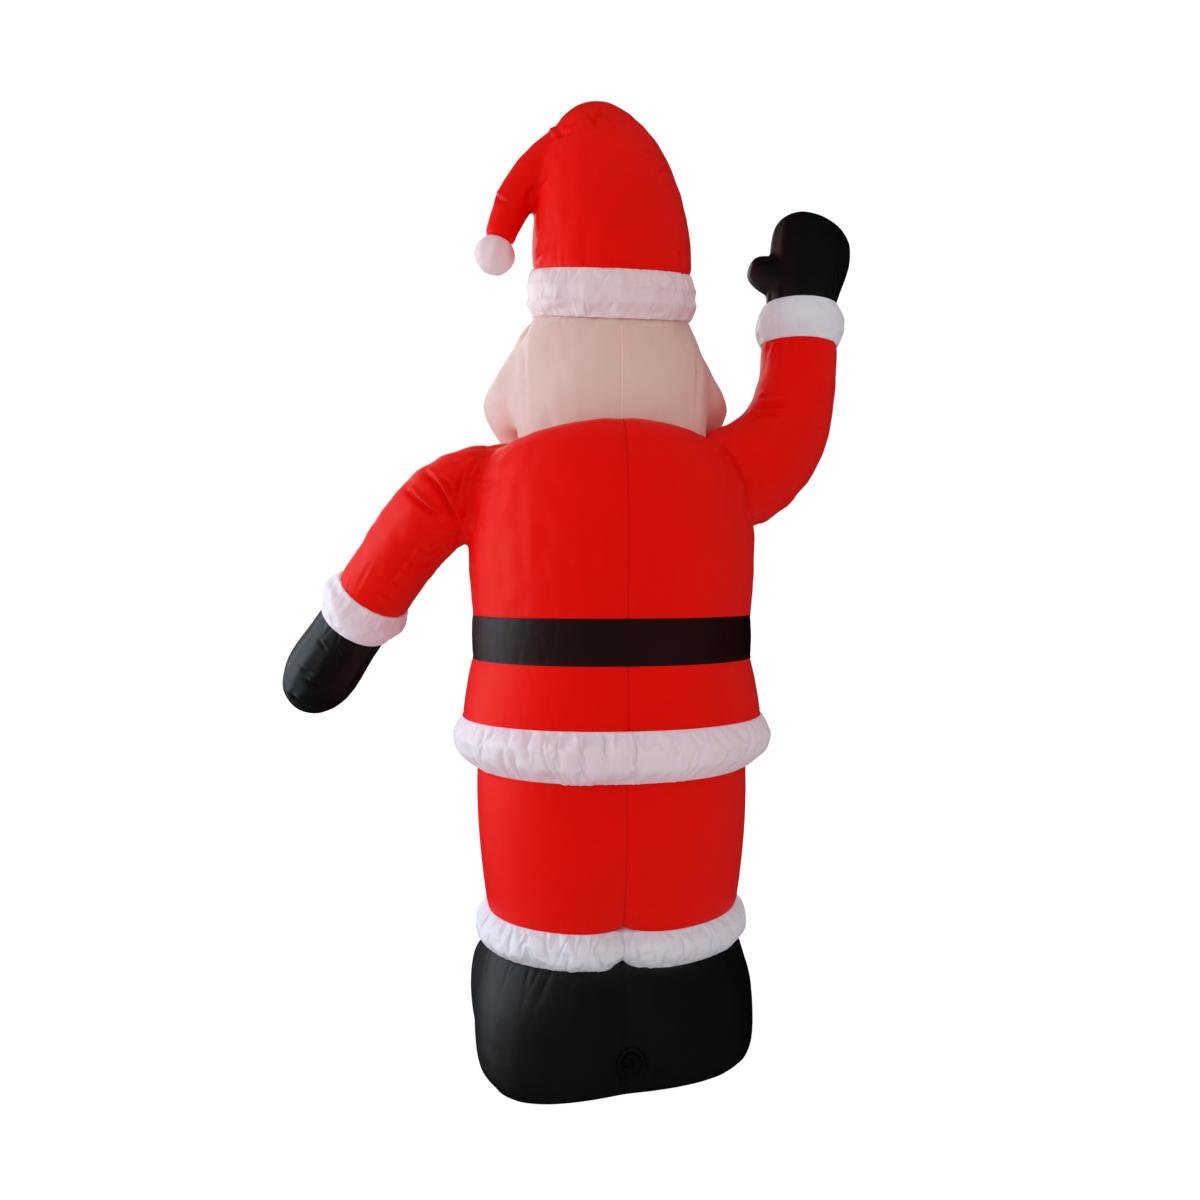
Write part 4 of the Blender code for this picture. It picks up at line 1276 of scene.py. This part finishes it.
def set_stage(name, grey, glow):
    """Make the new object a white part of the stage, which lights nothing and shows in nothing."""
    piece = bpy.context.object
    piece.name = name
    material = bpy.data.materials.new(name + "_white")
    material.use_nodes = True
    fill_in(material.node_tree.nodes["Principled BSDF"], {
        "Base Color": (grey, grey, grey, 1.0), "Roughness": 0.9, "Specular IOR Level": 0.0,
        "Emission Color": (1.0, 1.0, 1.0, 1.0), "Emission Strength": glow})
    piece.data.materials.append(material)
    for way in ("visible_diffuse", "visible_glossy", "visible_transmission", "visible_shadow"):
        setattr(piece, way, False)


bpy.ops.mesh.primitive_circle_add(vertices=64, radius=30.0, fill_type="NGON")
set_stage("floor", 0.3, 0.92)
bpy.ops.mesh.primitive_uv_sphere_add(segments=48, ring_count=24, radius=29.0)
set_stage("backdrop", 0.0, 1.05)

world = bpy.data.worlds.new("soft_room")
bpy.context.scene.world = world
world.use_nodes = True
fill_in(world.node_tree.nodes["Background"], {"Color": (1.0, 0.84, 0.83, 1.0), "Strength": 0.66})
world.cycles_visibility.glossy = False


def area_light(name, place, aim, size, power, colour, glossy=True):
    data = bpy.data.lights.new(name, "AREA")
    data.shape = "RECTANGLE"
    data.size = size[0]
    data.size_y = size[1]
    data.energy = power
    data.color = colour
    light = bpy.data.objects.new(name, data)
    light.location = place
    light.rotation_euler = (Vector(aim) - Vector(place)).to_track_quat("-Z", "Y").to_euler()
    light.visible_glossy = glossy
    bpy.context.scene.collection.objects.link(light)


area_light("window", (3.9, -0.7, 1.5), (0.0, 0.0, 1.1), (2.6, 3.2), 92.0, (0.76, 0.88, 1.0))
area_light("back_fill", (2.2, 4.0, 2.4), (0.0, 0.0, 1.1), (3.0, 3.0), 24.0, (1.0, 0.95, 0.93), False)
area_light("front_fill", (1.5, -4.5, 3.2), (0.0, 0.0, 1.1), (3.0, 3.0), 70.0, (1.0, 0.98, 0.96))

camera_data = bpy.data.cameras.new("camera")
camera_data.sensor_width = SENSOR_WIDTH
camera_data.lens = FOCAL_PIXELS / FRAME_PIXELS * SENSOR_WIDTH
camera_data.shift_x = (0.5 * FRAME_PIXELS - AXIS_PIXEL) / FRAME_PIXELS
camera_data.shift_y = (HORIZON_PIXEL - 0.5 * FRAME_PIXELS) / FRAME_PIXELS
camera = bpy.data.objects.new("camera", camera_data)
camera.location = CAMERA_PLACE
camera.rotation_euler = Vector(FORWARD).to_track_quat("-Z", "Y").to_euler()
bpy.context.scene.collection.objects.link(camera)
bpy.context.scene.camera = camera
bpy.context.scene.view_settings.view_transform = "Standard"
